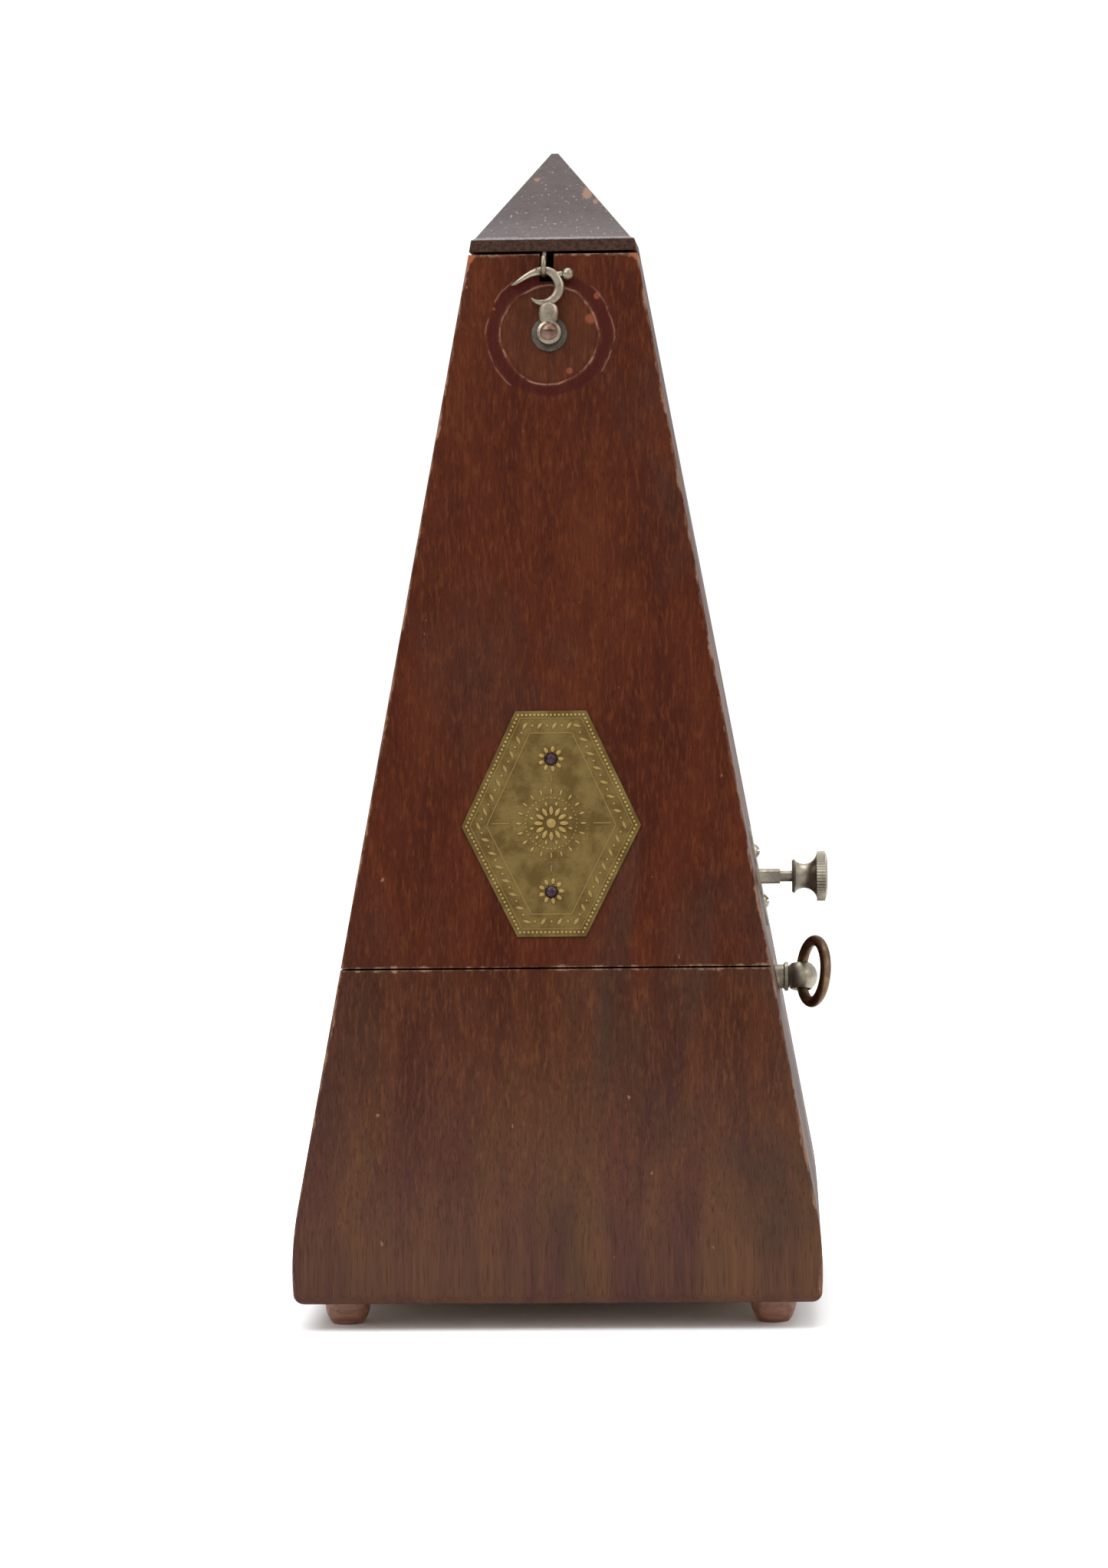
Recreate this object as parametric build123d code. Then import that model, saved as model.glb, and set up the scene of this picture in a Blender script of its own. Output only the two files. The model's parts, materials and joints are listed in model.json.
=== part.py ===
from build123d import *
import os
from math import acos, asin, atan2, cos, hypot, pi, radians, sin, sqrt, tan

# A pyramid metronome: a wooden case with a lift-off front door and a hinged
# pyramid lid, and a spring-driven movement with a pendulum and a bell inside.
# Millimetres. X to the right, the front faces -Y, Z up, origin on the surface
# that the four feet stand on, under the middle of the case.

# ---- Case ----
HEIGHT = 230.0  # worn tip of the lid
FOOT_HEIGHT = 5.2
FOOT_X, FOOT_Y = 41.6, 38.0  # feet from the middle
FOOT_RADIUS = 4.4
FOOT_FLAT = 3.0  # radius of the flat that stands on the floor
BASE_ROUND = 2.4  # radius under the case's bottom edges
TOP_HALF = 16.7  # half width at TOP_Z
TOP_Z = 208.9
LEAN = radians(10.22)  # the four faces lean in by this
TAPER_FOOT = 24.0  # below this the faces flare in a curve to the vertical
FLARE_RADIUS = 70.0
WALL = 4.6
FRONT_WALL = 5.0  # the fixed panel under the door
SEAM_Z = 69.5  # between the fixed panel and the door
SEAM_GAP = 0.4
DOOR_TOP = 209.0
CASE_TOP = 209.5
DOOR_DEPTH = 14.5  # from the door's front face to the back of its rails
DOOR_GAP = 0.3
BOARD = 5.0  # bottom board
SHELF_LOW, SHELF_HIGH = 33.0, 36.0
SHELF_FRONT, SHELF_BACK = -27.0, 30.0
DEEP = 60.0  # further than any face of the case

# ---- Lid ----
LID_Z = 209.6
LID_RIM = 2.3
LID_SET_BACK = 1.2  # from the rim's edge to the pyramid's foot
APEX_Z = 230.8  # where the four slopes would meet
HINGE_Y = 17.7
HINGE_Z = 209.55
KNUCKLE_RADIUS = 0.9
LEAF = 0.5
LEAF_HALF = 8.0

# ---- Latch ----
PIVOT_X, PIVOT_Z = -0.7, 193.0
EYE_X, EYE_Y, EYE_LOW, EYE_WIRE = -1.7, -15.4, 204.9, 1.2
NOTCH_LEFT, NOTCH_RIGHT, NOTCH_DEPTH = -2.6, 0.2, 5.5

# ---- Movement: places are (y, z) of axes that run along X ----
PLATE_LEFT, PLATE_RIGHT, PLATE = -15.0, 18.0, 1.5
KEY_AXIS = (3.0, 63.7)
SECOND_AXIS = (-12.3, 48.4)
ESCAPE_AXIS = (-20.0, 60.7)
SELECTOR_AXIS = (0.0, 84.25)
BELL_AXIS = (20.0, 70.0)
VERGE_Z = 75.2
PILLARS = [(-23.4, 38.4), (22.0, 41.0), (22.0, 83.5)]
PRESSURE = radians(25)
BACKLASH = 0.14
GREAT_TEETH, SECOND_PINION, COARSE = 60, 12, 0.6
SECOND_TEETH, ESCAPE_PINION, FINE = 48, 10, 0.5
RATCHET_TEETH, RATCHET_RADIUS = 12, 7.0
ESCAPE_TEETH, ESCAPE_RADIUS = 18, 8.0
ESCAPE_WHEELS = 4.5  # the two escape wheels stand at x = + and - this
CAM_RADIUS, CAM_PITCH, CAM_LOBES = 5.5, 1.8, (18, 12, 9, 6)
TAIL_X = 10.5  # hammer tail, over the second cam
BELL_RADIUS, BELL_MOUTH, BELL_CROWN = 13.0, -33.0, -19.0
SPRING_STRIP, SPRING_PITCH, SPRING_TURNS, SPRING_START = 0.4, 1.3, 7, 3.4

# ---- Pendulum ----
ROD_DEPTH = 11.0  # behind the front face
ROD_WIDTH, ROD_THICK = 2.6, 0.9
ROD_LOW, ROD_HIGH = 27.0, 199.0
WEIGHT_Z = 150.0
COUNTER_Z, COUNTER_RADIUS, COUNTER_THICK = 32.0, 8.0, 7.0

# ---- Key and selector outside the right face ----
BALL_X, BALL_RADIUS = 47.8, 3.3
RING_RADIUS, RING_WIRE = 6.2, 1.1
KEY_TURN, RING_LEAN = radians(15), radians(67)
ROD_RADIUS = 1.5
KNOB_X = 46.1

TAPER = tan(LEAN)
FLARE_CENTRE = TAPER_FOOT - FLARE_RADIUS * sin(LEAN)
FLARE_AXIS = TOP_HALF + TAPER * (TOP_Z - TAPER_FOOT) - FLARE_RADIUS * cos(LEAN)


def save(name, shape, *more):
    """Write one named piece, or one group of like pieces, to its own file."""
    solids = [solid for one in (shape, *more) for solid in one.solids()]
    whole = solids[0] if len(solids) == 1 else Compound(children=solids)
    os.makedirs("parts", exist_ok=True)
    export_step(whole, f"parts/{name}.step")


# ---------------------------------------------------------------- shapes


def half_width(z):
    """Half the case's width at height z, the same from the side."""
    if z >= TAPER_FOOT:
        return TOP_HALF + TAPER * (TOP_Z - z)
    return FLARE_AXIS + sqrt(FLARE_RADIUS**2 - (z - FLARE_CENTRE) ** 2)


def edge_line(side, inset, low, high):
    """The case's outline on one side (-1 or 1), moved in by inset."""

    def at(z):
        return (side * (half_width(z) - inset), z)

    edges = []
    if low < TAPER_FOOT:
        knee = min(high, TAPER_FOOT)
        edges.append(ThreePointArc(at(low), at((low + knee) / 2), at(knee)))
        low = knee
    if high > low:
        edges.append(Line(at(low), at(high)))
    return edges


def slice_face(start, end, low, high):
    """The face between two (side, inset) outlines and two heights."""
    first, last = edge_line(*start, low, high), edge_line(*end, low, high)
    caps = [Line(first[0] @ 0, last[0] @ 0), Line(first[-1] @ 1, last[-1] @ 1)]
    return make_face([*first, *last, *caps])


def between_x(start, end, low, high):
    return extrude(Plane.XZ * slice_face(start, end, low, high), DEEP, both=True)


def between_y(start, end, low, high):
    return extrude(Plane.YZ * slice_face(start, end, low, high), DEEP, both=True)


def block(x0, x1, y0, y1, z0, z1):
    middle = Pos((x0 + x1) / 2, (y0 + y1) / 2, (z0 + z1) / 2)
    return middle * Box(x1 - x0, y1 - y0, z1 - z0)


def bar_x(radius, x0, x1, place=(0, 0)):
    return Pos((x0 + x1) / 2, *place) * Rot(0, 90, 0) * Cylinder(radius, x1 - x0)


def bar_y(radius, y0, y1, x=0.0, z=0.0):
    return Pos(x, (y0 + y1) / 2, z) * Rot(90, 0, 0) * Cylinder(radius, y1 - y0)


def bar_z(radius, z0, z1, x=0.0, y=0.0):
    return Pos(x, y, (z0 + z1) / 2) * Cylinder(radius, z1 - z0)


def turned(points, place=(0, 0)):
    """A lathe shape about X, from its (x, radius) outline."""
    shape = revolve(make_face(Polyline(*points, close=True)), Axis.X, 360)
    return Pos(0, *place) * shape


def plate_x(face, x0, x1, place=(0, 0)):
    """A flat piece standing across X, its outline drawn in (y, z)."""
    return Pos(0, *place) * extrude(Plane.YZ.offset(x0) * face, x1 - x0)


def outline(*points):
    return make_face(Polyline(*points, close=True))


def polar(radius, angle):
    return (radius * cos(angle), radius * sin(angle))


def strip_face(start, end, width):
    """A straight strip of one width in a plane, from one point to another."""
    run = (end[0] - start[0], end[1] - start[1])
    length = hypot(*run)
    side = (-run[1] / length * width / 2, run[0] / length * width / 2)
    return outline(
        (start[0] + side[0], start[1] + side[1]),
        (end[0] + side[0], end[1] + side[1]),
        (end[0] - side[0], end[1] - side[1]),
        (start[0] - side[0], start[1] - side[1]),
    )


def face_plane(x, z, inset=0.0):
    """On the front face at (x, z): right, up the slope and outwards."""
    here = (x, -half_width(z) + inset, z)
    return Plane(here, x_dir=(1, 0, 0), z_dir=(0, -cos(LEAN), sin(LEAN)))


def side_plane(y, z):
    """On the right face at (y, z): back, up the slope and outwards."""
    here = (half_width(z), y, z)
    return Plane(here, x_dir=(0, 1, 0), z_dir=(cos(LEAN), 0, sin(LEAN)))


def slotted_screw(head, rise, shank, length):
    """A screw standing on z = 0: a domed slotted head and a plain shank."""
    ball = (head**2 + rise**2) / (2 * rise)
    dome = Pos(0, 0, rise - ball) * Sphere(ball) & Pos(0, 0, rise / 2) * Cylinder(head, rise)
    slot = Pos(0, 0, rise) * Box(3 * head, head / 4, rise)
    return dome - slot + Pos(0, 0, -length / 2) * Cylinder(shank, length)


def gear_face(teeth, module, phase):
    """A spur gear's outline with one tooth pointing along the angle phase."""
    pitch = module * teeth / 2
    base = pitch * cos(PRESSURE)
    tip, root = pitch + 0.8 * module, pitch - 1.15 * module

    def half_angle(radius):
        angle = acos(min(1.0, base / max(radius, base)))
        spread = (tan(PRESSURE) - PRESSURE) - (tan(angle) - angle)
        return pi / (2 * teeth) - BACKLASH / (4 * pitch) + spread

    start = max(base, root)
    flank = [start, (pitch + start) / 2, (pitch + tip) / 2, tip]
    if root < base:
        flank.insert(0, root)
    points = []
    for tooth in range(teeth):
        middle = phase + 2 * pi * tooth / teeth
        points += [polar(r, middle - half_angle(r)) for r in flank]
        points += [polar(r, middle + half_angle(r)) for r in reversed(flank)]
    return outline(*points)


def saw_face(teeth, tip, root, phase=0.0, lean=0.9):
    """A ratchet-toothed outline, each tooth steep on its leading side."""
    points = []
    for tooth in range(teeth):
        start = phase + 2 * pi * tooth / teeth
        points += [polar(root, start), polar(tip, start + 0.02), polar(root, start + lean * 2 * pi / teeth)]
    return outline(*points)


def cam_face(lobes):
    """A bell cam: one lobe for each stroke in a turn."""
    points = []
    for lobe in range(lobes):
        start = 2 * pi * lobe / lobes
        step = 2 * pi / lobes
        points += [polar(CAM_RADIUS - 1.2, start), polar(CAM_RADIUS, start + 0.55 * step)]
        points += [polar(CAM_RADIUS, start + 0.7 * step), polar(CAM_RADIUS - 1.2, start + 0.75 * step)]
    return outline(*points)


def arbor(x0, x1, radius, pivot, place):
    """A shaft along X between two shoulders, with a thinner pivot at each end."""
    return bar_x(radius, x0 + 0.1, x1 - 0.1, place) + bar_x(pivot, x0 - PLATE, x1 + PLATE, place)


# ---------------------------------------------------------------- case

back_panel = between_x((-1, 0), (1, 0), FOOT_HEIGHT, CASE_TOP)
back_panel &= between_y((1, WALL), (1, 0), FOOT_HEIGHT, CASE_TOP)
front_lower = between_x((-1, 0), (1, 0), FOOT_HEIGHT, SEAM_Z - SEAM_GAP / 2) & between_y(
    (-1, 0), (-1, FRONT_WALL), FOOT_HEIGHT, SEAM_Z - SEAM_GAP / 2
)


def side_panel(side):
    """One side: its front edge steps back above the seam to let the door in."""
    wall = between_x((side, WALL), (side, 0), FOOT_HEIGHT, CASE_TOP)
    low = between_y((-1, FRONT_WALL), (1, WALL), FOOT_HEIGHT, SEAM_Z - SEAM_GAP / 2)
    high = between_y((-1, DOOR_DEPTH + DOOR_GAP), (1, WALL), SEAM_Z - SEAM_GAP / 2, CASE_TOP)
    return wall & (low + high)


def roll_under(panel):
    """Round a panel's outer bottom edges, leaving the inner one sharp."""
    outline_edges = []
    for edge in panel.edges().group_by(Axis.Z)[0]:
        middle = edge.center()
        if max(abs(middle.X), abs(middle.Y)) > half_width(FOOT_HEIGHT) - 0.5:
            outline_edges.append(edge)
    return fillet(outline_edges, BASE_ROUND)


left_panel, right_panel = roll_under(side_panel(-1)), roll_under(side_panel(1))
back_panel, front_lower = roll_under(back_panel), roll_under(front_lower)
bottom_board = between_x((-1, WALL), (1, WALL), FOOT_HEIGHT, FOOT_HEIGHT + BOARD) & between_y(
    (-1, FRONT_WALL), (1, WALL), FOOT_HEIGHT, FOOT_HEIGHT + BOARD
)
shelf = between_x((-1, WALL), (1, WALL), SHELF_LOW, SHELF_HIGH) & block(
    -DEEP, DEEP, SHELF_FRONT, SHELF_BACK, SHELF_LOW, SHELF_HIGH
)

foot = fillet(
    revolve(
        make_face(
            [
                Line((0, 0), (FOOT_FLAT, 0)),
                ThreePointArc((FOOT_FLAT, 0), (FOOT_RADIUS - 0.3, 2.0), (FOOT_RADIUS, FOOT_HEIGHT)),
                Line((FOOT_RADIUS, FOOT_HEIGHT), (0, FOOT_HEIGHT)),
                Line((0, FOOT_HEIGHT), (0, 0)),
            ]
        ),
        Axis.Y,
        360,
    ).edges().sort_by(Axis.Y)[0],
    0.3,
)
foot = Rot(90, 0, 0) * foot
foot_screw = bar_z(1.8, 0.8, 2.0) + bar_z(0.9, 2.0, FOOT_HEIGHT + 3.6)
foot -= bar_z(1.8, 0, 2.0) + bar_z(0.9, 2.0, FOOT_HEIGHT)
foot_screw -= block(-2, 2, -0.25, 0.25, 0.8, 1.3)
corners = [(x, y) for x in (-FOOT_X, FOOT_X) for y in (-FOOT_Y, FOOT_Y)]
feet = [Pos(x, y, 0) * foot for x, y in corners]
foot_screws = [Pos(x, y, 0) * foot_screw for x, y in corners]
for x, y in corners:
    bottom_board -= bar_z(0.9, FOOT_HEIGHT, FOOT_HEIGHT + 3.6, x, y)

# The wooden board behind the pendulum, its scale and the clip for the rod.
BOARD_FRONT, BOARD_BACK = 16.0, 18.6
dial_board = between_x((-1, WALL), (1, WALL), 90, 203)
dial_board &= between_y((-1, BOARD_FRONT), (-1, BOARD_BACK), 90, 203)
scale_plate = between_y((-1, BOARD_FRONT - 0.5), (-1, BOARD_FRONT), 94, 194) & extrude(
    Plane.XZ * outline((-10, 94), (10, 94), (6.5, 194), (-6.5, 194)), DEEP, both=True
)
clip_base = between_y((-1, BOARD_FRONT - 0.5), (-1, BOARD_FRONT), 196, 201)
clip_base &= block(-3, 3, -DEEP, DEEP, 196, 201)
clip_tongue = between_y((-1, ROD_DEPTH + 1.2), (-1, BOARD_FRONT - 0.4), 196.2, 196.8) & block(
    -1.2, 1.2, -DEEP, DEEP, 190, 205
)
pendulum_clip = clip_base + clip_tongue

# ---------------------------------------------------------------- movement frame

PLATE_FACE = [(-26, SHELF_HIGH), (26, SHELF_HIGH), (26, 88), (-15, 88), (-20, 80), (-26, 72)]


def frame_plate(x0, x1, flange_x0, flange_x1):
    flange = block(flange_x0, flange_x1, -22, 22, SHELF_HIGH, SHELF_HIGH + PLATE)
    return plate_x(outline(*PLATE_FACE), x0, x1) + flange


plate_left = frame_plate(PLATE_LEFT, PLATE_LEFT + PLATE, PLATE_LEFT - 7, PLATE_LEFT)
plate_right = frame_plate(PLATE_RIGHT, PLATE_RIGHT + PLATE, PLATE_RIGHT + PLATE, PLATE_RIGHT + PLATE + 7)
INNER_LEFT, INNER_RIGHT = PLATE_LEFT + PLATE, PLATE_RIGHT
pillars = [bar_x(2.0, INNER_LEFT, INNER_RIGHT, place) for place in PILLARS]
cross_bar = block(INNER_LEFT, INNER_RIGHT, -12.4, -8.4, 79.6, 82.4)
# A notch lets the hammer's tail lift past the bar, wherever the selector stands.
cross_bar -= block(TAIL_X - 4.8, TAIL_X + 4.8, -10.4, -8.3, 79.5, 81.0)
TIE_SCREWS = [*PILLARS, (-10.4, 81.0)]
screw = slotted_screw(1.7, 1.0, 0.8, 5.0)
pillar_screws = []
for place in TIE_SCREWS:
    pillar_screws.append(Pos(PLATE_RIGHT + PLATE, *place) * Rot(0, 90, 0) * screw)
    pillar_screws.append(Pos(PLATE_LEFT, *place) * Rot(0, -90, 0) * screw)
for one in pillar_screws:
    plate_left -= one
    plate_right -= one
    pillars = [pillar - one for pillar in pillars]
    cross_bar -= one

# Two ears under the cross bar carry the pendulum's arbor.
verge_bridge = block(-4.6, 4.6, -26, -8, 78.1, 79.6)
for y0 in (-26, -9.5):
    verge_bridge += block(-4.6, 4.6, y0, y0 + 1.5, 72.6, 78.2)
verge_bridge -= bar_y(1.1, -27, -7, 0, VERGE_Z)
bridge_screws = [Pos(x, -10.4, 82.4) * slotted_screw(1.3, 0.8, 0.6, 4.0) for x in (-3.0, 3.0)]
for one in bridge_screws:
    cross_bar -= one
    verge_bridge -= one

for y, z, radius in ((*KEY_AXIS, 1.65), (*SECOND_AXIS, 0.66), (*ESCAPE_AXIS, 0.66)):
    plate_left -= bar_x(radius, PLATE_LEFT - 1, INNER_LEFT + 1, (y, z))
plate_left -= bar_x(2.5, PLATE_LEFT - 1, INNER_LEFT + 1, SELECTOR_AXIS)
for y, z, radius in ((*KEY_AXIS, 2.15), (*SECOND_AXIS, 0.66), (*ESCAPE_AXIS, 0.66), (*SELECTOR_AXIS, 1.6)):
    plate_right -= bar_x(radius, PLATE_RIGHT - 1, PLATE_RIGHT + PLATE + 1, (y, z))

movement_screws = []
for x in (PLATE_LEFT - 4, PLATE_RIGHT + PLATE + 4):
    for y in (-16, 16):
        movement_screws.append(Pos(x, y, SHELF_HIGH + PLATE) * slotted_screw(1.7, 1.0, 0.8, 5.0))
for one in movement_screws:
    plate_left -= one
    plate_right -= one
    shelf -= one


def spiral(start, pitch, turns, strip):
    """A wound strip made of half circles about two centres in turn."""
    edges = []
    for half in range(2 * turns):
        centre = (pitch / 4 if half % 2 else -pitch / 4, 0)
        radius = start + half * pitch / 2
        begin = 180 if half % 2 else 0
        edges.append(CenterArc(centre, radius, begin, 180))
        edges.append(CenterArc(centre, radius + strip, begin, 180))
    inner, outer = edges[-2], edges[-1]
    caps = [Line(edges[0] @ 0, edges[1] @ 0), Line(inner @ 1, outer @ 1)]
    return make_face([*edges, *caps]), outer @ 1


spring_face, spring_end = spiral(SPRING_START, SPRING_PITCH, SPRING_TURNS, SPRING_STRIP)
mainspring = plate_x(spring_face, -6, 6, KEY_AXIS)
STUD_RADIUS = 1.3
spring_stud = bar_x(STUD_RADIUS, PLATE_LEFT, 6.4, (KEY_AXIS[0] + spring_end.X + STUD_RADIUS, KEY_AXIS[1]))
plate_left -= spring_stud

bell = turned(
    [
        (BELL_MOUTH, BELL_RADIUS),
        (BELL_CROWN - 3, BELL_RADIUS),
        (BELL_CROWN - 1, BELL_RADIUS - 1),
        (BELL_CROWN, BELL_RADIUS - 3.4),
        (BELL_CROWN, 1.05),
        (BELL_CROWN - 1, 1.05),
        (BELL_CROWN - 1, BELL_RADIUS - 3.8),
        (BELL_CROWN - 1.8, BELL_RADIUS - 1.8),
        (BELL_CROWN - 3.2, BELL_RADIUS - 1),
        (BELL_MOUTH, BELL_RADIUS - 1),
    ],
    BELL_AXIS,
)
bell_post = bar_x(2.2, BELL_CROWN, PLATE_LEFT, BELL_AXIS) + bar_x(1.05, BELL_CROWN - 2, INNER_LEFT, BELL_AXIS)
bell_post += bar_x(1.9, BELL_CROWN - 2, BELL_CROWN - 1, BELL_AXIS)  # riveted over inside the crown
plate_left -= bell_post

detent_outline = outline((19.5, 73), (20.0, 73), (20.0, 80), (22.6, 82.1), (22.2, 82.5), (19.5, 80.3))
detent_spring = extrude(Plane.XZ * detent_outline, 2, both=True)
detent_screw = Pos(20.0, 0, 76) * Rot(0, 90, 0) * slotted_screw(1.3, 0.8, 0.6, 3.0)
detent_spring -= detent_screw
plate_right -= detent_screw

# ---------------------------------------------------------------- wheels


def direction(start, end):
    return atan2(end[1] - start[1], end[0] - start[0])


towards_second = direction(KEY_AXIS, SECOND_AXIS)
towards_escape = direction(SECOND_AXIS, ESCAPE_AXIS)
GREAT_X, GREAT_WIDE = 15.3, 1.2
CLICK_PIVOT = polar(11.2, radians(150))

great_wheel = plate_x(
    gear_face(GREAT_TEETH, COARSE, towards_second) - Circle(2.15), GREAT_X, GREAT_X + GREAT_WIDE, KEY_AXIS
)
click_stud = bar_x(0.8, 13.5, GREAT_X, (KEY_AXIS[0] + CLICK_PIVOT[0], KEY_AXIS[1] + CLICK_PIVOT[1]))
great_wheel += click_stud

click_tip = polar(6.75, radians(92))
click_face = strip_face(CLICK_PIVOT, click_tip, 1.5) + Pos(*CLICK_PIVOT) * Circle(1.7)
click_face -= Pos(*CLICK_PIVOT) * Circle(0.9)
ratchet_face = saw_face(RATCHET_TEETH, RATCHET_RADIUS, 5.4, radians(70))
click = plate_x(click_face - Circle(7.25), 13.7, 15.0, KEY_AXIS)
ratchet = plate_x(ratchet_face, 13.6, 15.1, KEY_AXIS)
bend = polar(14.0, radians(118))
click_spring = plate_x(
    strip_face(bend, polar(10.6, radians(98)), 0.4) + strip_face(polar(15.4, radians(135)), bend, 0.4),
    13.9,
    GREAT_X,
    KEY_AXIS,
)

second_arbor = arbor(INNER_LEFT, INNER_RIGHT, 1.0, 0.6, SECOND_AXIS) + plate_x(
    gear_face(SECOND_PINION, COARSE, towards_second + pi + pi / SECOND_PINION), 15.0, 16.8, SECOND_AXIS
)
second_face = gear_face(SECOND_TEETH, FINE, towards_escape) - Circle(1.0)
window = Circle(9.6) - Circle(3.6)
for spoke in range(4):
    window -= Rot(0, 0, 45 * spoke) * Rectangle(24, 1.6)
second_wheel = plate_x(second_face - window, -9.6, -8.4, SECOND_AXIS) + (
    bar_x(2.4, -10.4, -7.6, SECOND_AXIS) - bar_x(1.0, -11, -7, SECOND_AXIS)
)
escape_arbor = arbor(INNER_LEFT, INNER_RIGHT, 1.0, 0.6, ESCAPE_AXIS) + plate_x(
    gear_face(ESCAPE_PINION, FINE, towards_escape + pi + pi / ESCAPE_PINION), -10.0, -8.0, ESCAPE_AXIS
)


def escape_wheel(x, phase):
    crossings = Circle(5.2) - Circle(2.2) - Rectangle(12, 1.3)
    face = saw_face(ESCAPE_TEETH, ESCAPE_RADIUS, 6.2, phase, 0.75) - crossings
    return plate_x(face - Circle(1.0), x - 0.6, x + 0.6, ESCAPE_AXIS)


escape_left = escape_wheel(-ESCAPE_WHEELS, 0.0)
escape_right = escape_wheel(ESCAPE_WHEELS, pi / ESCAPE_TEETH)
CAM_START = TAIL_X - CAM_PITCH
bell_cams = bar_x(2.0, CAM_START - 0.9, CAM_START + 3 * CAM_PITCH + 0.6, ESCAPE_AXIS)
for place, lobes in enumerate(CAM_LOBES):
    middle = CAM_START + place * CAM_PITCH
    bell_cams += plate_x(cam_face(lobes), middle - 0.6, middle + 0.6, ESCAPE_AXIS)
bell_cams -= bar_x(1.0, CAM_START - 2, CAM_START + 8, ESCAPE_AXIS)

# ---------------------------------------------------------------- key

winding_arbor = (
    bar_x(1.6, PLATE_LEFT, 0, KEY_AXIS)
    + bar_x(2.6, INNER_LEFT + 0.2, 6.6, KEY_AXIS)
    + bar_x(2.0, 6.6, 36.0, KEY_AXIS)
    + block(36.0, 44.2, KEY_AXIS[0] - 1.2, KEY_AXIS[0] + 1.2, KEY_AXIS[1] - 1.2, KEY_AXIS[1] + 1.2)
)
BUSH_OUT = half_width(KEY_AXIS[1]) + 0.2
key_bush = turned([(37.0, 2.6), (BUSH_OUT, 2.6), (BUSH_OUT, 3.5), (37.0, 3.5)], KEY_AXIS)
key_bush &= between_x((-1, 0), (1, 0), 40, 90)
right_panel -= bar_x(3.5, 30, 50, KEY_AXIS)

winding_key = turned(
    [
        (37.5, 0),
        (37.5, 2.45),
        (44.2, 2.45),
        (44.5, 2.95),
        (45.1, 2.95),
        (45.3, 2.1),
        (46.2, 2.0),
        (47.0, 0),
    ],
    KEY_AXIS,
) + Pos(BALL_X, *KEY_AXIS) * Sphere(BALL_RADIUS)
winding_key -= block(
    37, 44.4, KEY_AXIS[0] - 1.25, KEY_AXIS[0] + 1.25, KEY_AXIS[1] - 1.25, KEY_AXIS[1] + 1.25
)
winding_arbor += ratchet
hinge_line = Vector(0, sin(KEY_TURN), cos(KEY_TURN))
ring_arm = Vector(cos(RING_LEAN), -sin(RING_LEAN) * cos(KEY_TURN), sin(RING_LEAN) * sin(KEY_TURN))
ball_centre = Vector(BALL_X, *KEY_AXIS)
ring_centre = ball_centre + ring_arm * RING_RADIUS
ring_plane = Plane(ring_centre, x_dir=hinge_line, z_dir=ring_arm.cross(hinge_line))
key_ring = ring_plane * Torus(RING_RADIUS, RING_WIRE)
BORE_ARC = RING_RADIUS - RING_WIRE - 0.15  # the ring sweeps this hollow as it swings
bore_end = BALL_RADIUS + 0.4
bore = revolve(
    make_face(
        [
            ThreePointArc(
                (RING_RADIUS - sqrt(BORE_ARC**2 - bore_end**2), -bore_end),
                (RING_RADIUS - BORE_ARC, 0),
                (RING_RADIUS - sqrt(BORE_ARC**2 - bore_end**2), bore_end),
            ),
            Line((RING_RADIUS - sqrt(BORE_ARC**2 - bore_end**2), bore_end), (0, bore_end)),
            Line((0, bore_end), (0, -bore_end)),
            Line((0, -bore_end), (RING_RADIUS - sqrt(BORE_ARC**2 - bore_end**2), -bore_end)),
        ]
    ),
    Axis.Y,
    360,
)
winding_key -= Plane(ball_centre, x_dir=(1, 0, 0), z_dir=Vector(1, 0, 0).cross(hinge_line)) * bore

# ---------------------------------------------------------------- selector and hammer

selector_rod = bar_x(ROD_RADIUS, -29, 28, SELECTOR_AXIS) + (
    bar_x(ROD_RADIUS, 28, 43.7, SELECTOR_AXIS) & block(20, 50, -1.1, 1.1, 80, 90)
)
selector_rod += bar_x(1.1, 43.0, KNOB_X + 3.0, SELECTOR_AXIS)
for step in (-2, -1, 0, 1, 2):
    groove = turned([(x, r) for x, r in ((-0.4, 1.7), (0.4, 1.7), (0, 1.2))], SELECTOR_AXIS)
    selector_rod -= Pos(22.4 + step * CAM_PITCH, 0, 0) * groove
KNURLS = 48
rim = []
for knurl in range(KNURLS):
    rim += [polar(5.05, 2 * pi * knurl / KNURLS), polar(4.82, 2 * pi * (knurl + 0.5) / KNURLS)]
knob_profile = make_face(
    [
        Line((KNOB_X, 0), (KNOB_X, 3.2)),
        Line((KNOB_X, 3.2), (KNOB_X + 0.5, 3.45)),
        Line((KNOB_X + 0.5, 3.45), (KNOB_X + 0.8, 3.0)),
        ThreePointArc((KNOB_X + 0.8, 3.0), (KNOB_X + 2.6, 2.45), (KNOB_X + 5.0, 4.6)),
        Line((KNOB_X + 5.0, 4.6), (KNOB_X + 6.8, 4.6)),
        Line((KNOB_X + 6.8, 4.6), (KNOB_X + 7.15, 3.6)),
        Line((KNOB_X + 7.15, 3.6), (KNOB_X + 7.15, 0)),
        Line((KNOB_X + 7.15, 0), (KNOB_X, 0)),
    ]
)
knob = revolve(knob_profile, Axis.X, 360) + extrude(Plane.YZ.offset(KNOB_X + 5.0) * outline(*rim), 1.7)
selector_knob = Pos(0, *SELECTOR_AXIS) * knob - bar_x(1.1, 43, KNOB_X + 3.0, SELECTOR_AXIS)

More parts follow.
